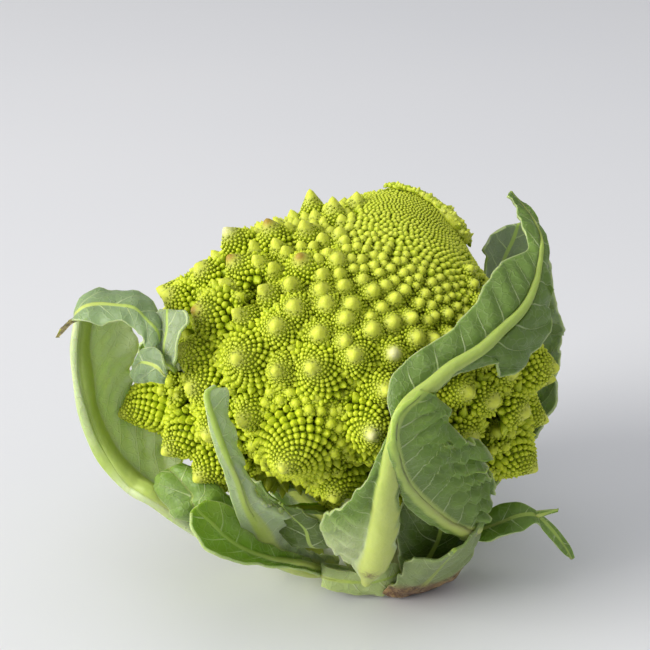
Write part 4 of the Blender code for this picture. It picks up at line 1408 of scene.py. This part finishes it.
@dataclass
class Leaf:
    """A closed sheet with a swollen midrib, ruffled ragged edges and a blade that puffs up between its veins.

    Rows lie row_gap apart, and each side has blade_columns columns past the midrib's own. The blade is blade
    thick. Side veins leave the midrib vein_gap apart; at a distance d from it they have run vein_slope d +
    d^2 / vein_bend along it.
    """

    form: LeafForm
    material: bpy.types.Material
    row_gap: float = 1.6 * MM
    blade: float = 1.0 * MM
    blade_columns: int = 11
    vein_gap: float = 10.0 * MM
    vein_slope: float = 0.75
    vein_bend: float = 55.0 * MM
    lowest: float = 0.3 * MM

    def rails(self) -> tuple[Array, Array]:
        """The midrib and the two edges in even steps along the midrib, and the distance run along it."""
        stations = np.array(self.form.stations, float) * MM
        curve = spline(stations.reshape(len(stations), 9), 14)
        run = np.concatenate([[0], np.cumsum(np.linalg.norm(np.diff(curve[:, :3], axis=0), axis=1))])
        count = int(np.clip(run[-1] / self.row_gap, 24, 130))
        places = np.linspace(0, run[-1], count)
        even = np.stack([np.interp(places, run, curve[:, column]) for column in range(9)], -1)
        return even.reshape(count, 3, 3), places

    def falling(self, pair: tuple[float, float], share: Array) -> Array:
        """A size that falls from pair[0] at the base to pair[1] at the tip as (1 - share)^taper."""
        return (pair[1] + (pair[0] - pair[1]) * (1 - share) ** self.form.taper) * MM

    def point(self, share: Array) -> Array:
        """How far the base has swollen: from 0.3 at a pointed end to 1 where the point ends."""
        return 0.3 + 0.7 * smoothstep(share, 0, max(self.form.pointed, 1e-6))

    def half_rib(self, share: Array) -> Array:
        """Half the midrib's width at each share of the way to the tip."""
        return self.falling(self.form.rib, share) * self.point(share) / 2

    def side(self, rails: Array, run: Array, normal: Array, edge: int) -> dict[str, Array]:
        """One half of the sheet's middle surface, in columns from beside the midrib out to an edge.

        A point is rib + s (edge - rib), moved along the normal by belly 4 s (1 - s), less the crease beside
        the midrib, plus a ruffle that grows as s^2.5 and the puff between the veins.

        Args:
            rails: midrib and edges.
            run: distance along the midrib.
            normal: the sheet's normal at each row.
            edge: 1 or 2.

        Returns:
            Points, the distance from the midrib, the share s, and the vein number.
        """
        form, seed = self.form, self.form.seed * 10 + edge
        span = rails[:, edge] - rails[:, 0]
        width = np.maximum(np.linalg.norm(span, axis=1), 1e-5)
        half_rib = self.half_rib(run / run[-1])
        near = np.minimum(half_rib * 1.2, 0.75 * width)
        beside = near[:, None] * np.array([0.25, 0.5, 0.75, 1.0])
        columns = np.arange(1, self.blade_columns + 1) / self.blade_columns
        outer = near[:, None] + (width - near)[:, None] * columns
        away = np.hstack([beside, outer])
        s = away / width[:, None]
        bites = np.maximum(wobble(run / (6 * MM), seed + 3), 0)
        torn = 0.55 + 0.45 * wobble(run / (2.4 * MM), seed, 9) + 0.5 * bites
        cut = np.clip(form.ragged[edge - 1] * MM * torn * smoothstep(width, 4 * MM, 13 * MM) / width, 0, 0.4)
        stretch = s * (1 - cut[:, None] * smoothstep(s, 0.2, 1))
        bend = self.vein_slope * away + away**2 / self.vein_bend
        drift = 0.3 * wobble(run / (13 * MM), seed + 5)[:, None] + 0.12 * wobble(away / (5 * MM), seed + 7)
        vein = (run[:, None] - bend) / self.vein_gap + 0.47 * edge + drift
        size = np.minimum(width / (18 * MM), 1)[:, None]
        phase = 2 * math.pi * run / (form.wave * MM) + 1.6 * wobble(run / (11 * MM), seed + 9)
        wave = (np.sin(phase) + 0.35 * np.sin(2.3 * phase + seed))[:, None]
        lift = form.belly * MM * 4 * s * (1 - s) * size
        lift = lift + form.ruffle[edge - 1] * MM * wave * s**2.5 * np.sqrt(size)
        gap = (away - 1.15 * half_rib[:, None]) / (0.45 * half_rib[:, None] + 0.4 * MM)
        lift = lift - form.crease * MM * np.exp(-(gap**2)) * size
        puffed = np.cos(2 * math.pi * (vein - 0.5)) + 0.7 * wobble(run[:, None] / (4 * MM) + vein, seed + 11)
        beyond = smoothstep((away - 1.15 * half_rib[:, None]) / width[:, None], 0, 0.28)
        lift = lift - form.puff * MM * puffed * beyond * size
        points = rails[:, :1] + span[:, None] * stretch[..., None] + normal[:, None] * lift[..., None]
        return {"points": points, "away": away, "s": s, "vein": vein}

    def sheet(self) -> tuple[Array, dict[str, Array], float]:
        """The middle surface from edge to edge, its values, and 1 or -1 for which face is outside."""
        rails, run = self.rails()
        ahead = np.gradient(rails[:, 0], axis=0)
        normal = unit(np.cross(rails[:, 2] - rails[:, 1], ahead))
        facing = 1.0 if ((rails[:, 0] - HEAD_CENTRE) * normal).sum() > 0 else -1.0
        smooth = np.ones(7) / 7
        padded = np.pad(normal * facing, ((3, 3), (0, 0)), mode="edge")
        normal = unit(np.stack([np.convolve(padded[:, axis], smooth, "valid") for axis in range(3)], -1))
        first, second = (self.side(rails, run, normal, edge) for edge in (1, 2))
        middle = {
            "points": rails[:, :1],
            "away": np.zeros((len(run), 1)),
            "s": np.zeros((len(run), 1)),
            "vein": (first["vein"][:, :1] + second["vein"][:, :1]) / 2,
        }
        joined = {
            name: np.concatenate([first[name][:, ::-1], values, second[name]], axis=1)
            for name, values in middle.items()
        }
        joined["run"] = np.broadcast_to(run[:, None], joined["away"].shape)
        return joined.pop("points"), joined, facing

    def spotted(self, points: Array) -> Array:
        """How brown each point is: exp(-(distance from the spot / its radius)^4)."""
        *place, radius = (value * MM for value in self.form.spot)
        if not radius:
            return np.zeros(len(points))
        return np.exp(-((np.linalg.norm(points - np.array(place), axis=1) / radius) ** 4))

    def closed(self, outer: Array, inner: Array, facing: float) -> tuple[Array, list[Array]]:
        """Joins the sheet's two faces along its rim.

        Args:
            outer: the outer face's points, by row and column.
            inner: the inner face's points.
            facing: 1, or -1 where the faces have to be turned round.

        Returns:
            All the points, kept just off the floor, and the faces.
        """
        rows, columns = outer.shape[:2]
        grid = np.arange(rows * columns).reshape(rows, columns)
        quads = np.stack([grid[:-1, :-1], grid[:-1, 1:], grid[1:, 1:], grid[1:, :-1]], -1).reshape(-1, 4)
        rim = np.concatenate([grid[:, 0], grid[-1, 1:], grid[-2::-1, -1], grid[0, -2:0:-1]])
        after = np.roll(rim, -1)
        below = rows * columns
        walls = np.stack([rim, after, after + below, rim + below], -1)
        faces = [quads, quads[:, ::-1] + below, walls]
        if facing < 0:
            faces = [block[:, ::-1] for block in faces]
        both = np.vstack([outer.reshape(-1, 3), inner.reshape(-1, 3)])
        both[:, 2] = np.maximum(both[:, 2], self.lowest)
        return both, faces

    def build(self) -> None:
        """Thickens the sheet, gives its points their values and makes the piece."""
        points, values, facing = self.sheet()
        ahead = np.gradient(points, axis=0)
        across = np.gradient(points, axis=1)
        normal = unit(np.cross(across, ahead)) * facing
        share = values["run"] / values["run"][-1, 0]
        half_rib = self.half_rib(share)
        swell = np.exp(-((values["away"] / half_rib) ** 2.6))
        extra = np.maximum(self.falling(self.form.thick, share) * self.point(share) - self.blade, 0) * swell
        outer = points + normal * (0.5 * self.blade + 0.68 * extra)[..., None]
        inner = points - normal * (0.5 * self.blade + 0.32 * extra)[..., None]
        both, faces = self.closed(outer, inner, facing)
        ripple = 3 * MM * wobble(both[:, 0] / (5 * MM), self.form.seed)
        low = 1 - smoothstep(both[:, 2] + ripple, 8 * MM, 14 * MM)
        grids = (values["vein"], values["s"], share, swell)
        vein, away, share, rib = (np.tile(grid.ravel(), 2) for grid in grids)
        shell = Shell()
        shell.add(
            both,
            faces,
            vein=vein,
            away=away,
            rib=rib,
            share=share,
            inside=np.repeat([0.0, 1.0], len(both) // 2),
            # the leaf's painted light and shade, less the paler base
            shade=self.form.shade - self.form.pallor * (1 - smoothstep(share, 0.12, 0.34)),
            dry=np.maximum(low * self.form.dry, self.form.wither),
            spot=self.spotted(both),
        )
        piece = shell.build(self.form.piece or self.form.node.replace("leaf", "blade"), self.material)
        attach(piece, BODY)
        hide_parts(self.form.node)
        LOG.info("%s: %d triangles", piece.name, shell.triangles())


@dataclass(frozen=True)
class LeafFinish:
    """A leaf's greens: the blade's two faces, pale veins and midrib, a net of fine veins, and dried edges."""

    tone: Tone
    outer: Colour
    inner: Colour
    vein: Colour = colour(200, 212, 162)
    rib_low: Colour = colour(190, 200, 108)
    rib_high: Colour = colour(156, 178, 84)
    # dark: the colour of the blade's darker clouds, and the painted shade of a shaded leaf.
    dark: Colour = colour(48, 68, 26)
    dried: Colour = colour(150, 122, 84)
    dried_dark: Colour = colour(96, 66, 46)
    roughness: float = 0.46

    def material(self) -> bpy.types.Material:
        """Lays the nodes."""
        material, nodes, shader = new_material(self.tone.value)
        away, share, shade = (nodes.value(name) for name in ("away", "share", "shade"))
        turn = nodes.math("ABSOLUTE", nodes.math("SUBTRACT", nodes.math("FRACT", nodes.value("vein")), 0.5))
        width = nodes.math("MULTIPLY_ADD", away, -0.04, 0.056)
        line = nodes.times(nodes.math("SUBTRACT", width, turn), 30.0)
        line = nodes.math("MAXIMUM", nodes.math("MINIMUM", line, 1.0), 0.0)
        bent = nodes.texture("Noise", 160.0, Detail=2.0).outputs["Color"]
        place = nodes.mix(0.006, nodes.new("TexCoord").outputs["Object"], bent)
        net = nodes.new("TexVoronoi", {"Vector": place, "Scale": 230.0}, feature="DISTANCE_TO_EDGE")
        net = nodes.ramp(net.outputs["Distance"], (0.0, 1.0), (0.07, 0.0))
        cloud = nodes.ramp(nodes.noise(42.0), (0.35, 0.0), (0.72, 1.0))
        blade = nodes.mix(nodes.value("inside"), self.outer, self.inner)
        layers = (
            (nodes.times(cloud, 0.35), self.dark),
            # Painted light and shade: the leaf's shade value darkens a shaded leaf toward dark and pales a
            # lit one toward the vein colour.
            (nodes.math("MAXIMUM", nodes.times(shade, 0.75), 0.0), self.dark),
            (nodes.math("MAXIMUM", nodes.times(shade, -0.8), 0.0), self.vein),
            (nodes.times(net, 0.10), self.vein),
            (nodes.times(line, 0.55), self.vein),
            (nodes.times(nodes.ramp(away, (0.955, 0.0), (0.995, 1.0)), 0.5), self.vein),
        )
        for much, tint in layers:
            blade = nodes.mix(much, blade, tint)
        rib = nodes.mix(nodes.ramp(share, (0.1, 0.0), (0.75, 1.0)), self.rib_low, self.rib_high)
        rib = nodes.mix(nodes.times(nodes.noise(300.0, 2.0), 0.25), rib, self.rib_high)
        on_rib = nodes.ramp(nodes.value("rib"), (0.28, 0.0), (0.62, 1.0))
        crumb = nodes.ramp(nodes.noise(700.0, 4.0), (0.4, 0.0), (0.6, 1.0))
        husk = nodes.mix(crumb, self.dried, self.dried_dark)
        whole = nodes.mix(nodes.value("dry"), nodes.mix(on_rib, blade, rib), husk)
        height = nodes.times(nodes.math("MULTIPLY_ADD", net, 0.35, line), nodes.math("SUBTRACT", 1.0, on_rib))
        height = nodes.math("MULTIPLY_ADD", nodes.noise(260.0), 1.6, height)
        looks = {
            "Base Color": nodes.mix(nodes.times(nodes.value("spot"), crumb), whole, self.dried_dark),
            "Normal": nodes.relief(height, 0.6, 0.0006),
            "Roughness": self.roughness,
            "Specular IOR Level": 0.4,
            "Subsurface Weight": 0.7,
            "Subsurface Radius": (0.8, 1.0, 0.3),
            "Subsurface Scale": 0.0035,
        }
        nodes.fill(shader, looks)
        return material


LEAF_FINISHES = (
    LeafFinish(Tone.BLUE, colour(144, 166, 120), colour(170, 186, 144)),
    LeafFinish(Tone.FRESH, colour(122, 152, 62), colour(134, 164, 54)),
    LeafFinish(Tone.PALE, colour(168, 184, 120), colour(174, 190, 122)),
    LeafFinish(Tone.DARK, colour(94, 116, 44), colour(84, 108, 36)),
)


@dataclass(frozen=True)
class StemFinish:
    """The cut stalk: pale green flesh with lengthwise fibres."""

    light: Colour = colour(206, 212, 152)
    green: Colour = colour(160, 178, 88)
    fibres: tuple[float, float, float] = (500.0, 500.0, 40.0)
    roughness: float = 0.5

    def material(self) -> bpy.types.Material:
        """Lays the nodes."""
        material, nodes, shader = new_material("stem_flesh")
        place = nodes.new("Mapping", {0: nodes.new("TexCoord").outputs["Object"], 3: self.fibres})
        fibre = nodes.new("TexNoise", {"Vector": place.outputs[0], "Scale": 1.0, "Detail": 3.0}).outputs[0]
        tone = nodes.mix(nodes.ramp(fibre, (0.35, 0.0), (0.65, 1.0)), self.light, self.green)
        normal = nodes.relief(fibre, 0.4, 0.0005)
        nodes.fill(shader, {"Base Color": tone, "Normal": normal, "Roughness": self.roughness})
        return material


def dress_stem() -> None:
    """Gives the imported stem, whose shape is kept, the stalk's finish."""
    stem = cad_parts["stem"]
    material = StemFinish().material()
    for slot in stem.material_slots:
        slot.material = material


# ---------------------------------------------------------------------------- floor, light and camera


@dataclass(frozen=True)
class Lamp:
    """A square area lamp: where it stands, its side in metres, its power in watts and its colour."""

    name: str
    place: tuple[float, float, float]
    side: float
    power: float
    tint: Colour

    def build(self, target: tuple[float, float, float]) -> None:
        """Makes the lamp, aimed at the target."""
        light = bpy.data.lights.new(self.name, "AREA")
        light.size, light.energy, light.color = self.side, self.power, self.tint[:3]
        lamp = bpy.data.objects.new(self.name, light)
        aim = np.array(target) - np.array(self.place)
        lamp.location = self.place
        tilt, turn = math.atan2(math.hypot(aim[0], aim[1]), -aim[2]), math.atan2(-aim[0], aim[1])
        lamp.rotation_euler = (tilt, 0, turn)
        bpy.context.scene.collection.objects.link(lamp)


LAMPS = (
    Lamp("window", (-2.9, -1.35, 1.5), 2.2, 152.0, colour(255, 253, 246)),
    Lamp("ceiling", (-0.1, -0.2, 2.0), 1.8, 9.0, colour(252, 252, 252)),
)


@dataclass(frozen=True)
class Studio:
    """A pale floor, soft light from the upper left, and the camera."""

    look_at: tuple[float, float, float] = (-0.024, 0.004, 0.097)
    distance: float = 0.609375
    elevation: float = 22.0
    lens: float = 90.0
    sensor: float = 36.0
    floor_size: float = 12.0
    floor_colour: Colour = colour(229, 229, 232)
    floor_mottle: Colour = colour(219, 221, 227)
    sky: Colour = colour(230, 231, 234)
    sky_strength: float = 0.56

    def floor(self) -> None:
        """A flat pale floor with a faint mottle."""
        half = self.floor_size / 2
        shell = Shell()
        corners = np.array([[-half, -half, 0], [half, -half, 0], [half, half, 0], [-half, half, 0]])
        shell.add(corners, [np.array([[0, 1, 2, 3]])])
        material, nodes, shader = new_material("floor")
        tone = nodes.mix(nodes.noise(1.4, 2.0), self.floor_colour, self.floor_mottle)
        nodes.fill(shader, {"Base Color": tone, "Roughness": 0.6})
        shell.build("floor", material)

    def build(self) -> None:
        """Sets floor, world, lamps and camera."""
        self.floor()
        world = bpy.data.worlds.new("sky")
        world.use_nodes = True
        background = world.node_tree.nodes["Background"]
        background.inputs["Color"].default_value = self.sky
        background.inputs["Strength"].default_value = self.sky_strength
        bpy.context.scene.world = world
        for lamp in LAMPS:
            lamp.build(self.look_at)
        camera = bpy.data.objects.new("camera", bpy.data.cameras.new("camera"))
        camera.data.lens = self.lens
        camera.data.sensor_width = self.sensor
        rise = math.radians(self.elevation)
        back = np.array([0, -math.cos(rise), math.sin(rise)]) * self.distance
        camera.location = np.array(self.look_at) + back
        camera.rotation_euler = (math.pi / 2 - rise, 0, 0)
        bpy.context.scene.collection.objects.link(camera)
        bpy.context.scene.camera = camera
        bpy.context.scene.view_settings.view_transform = "Standard"


def main() -> None:
    """Builds everything in order."""
    logging.basicConfig(level=logging.INFO, format="%(name)s %(message)s")
    Studio().build()
    crest = Crest()
    layout = Packing(crest)
    Curd(layout.stand(), crest, layout, CurdFinish().material()).build()
    finishes = {finish.tone: finish.material() for finish in LEAF_FINISHES}
    for form in LEAVES:
        Leaf(form, finishes[form.tone]).build()
    dress_stem()


if __name__ == "__main__":
    main()
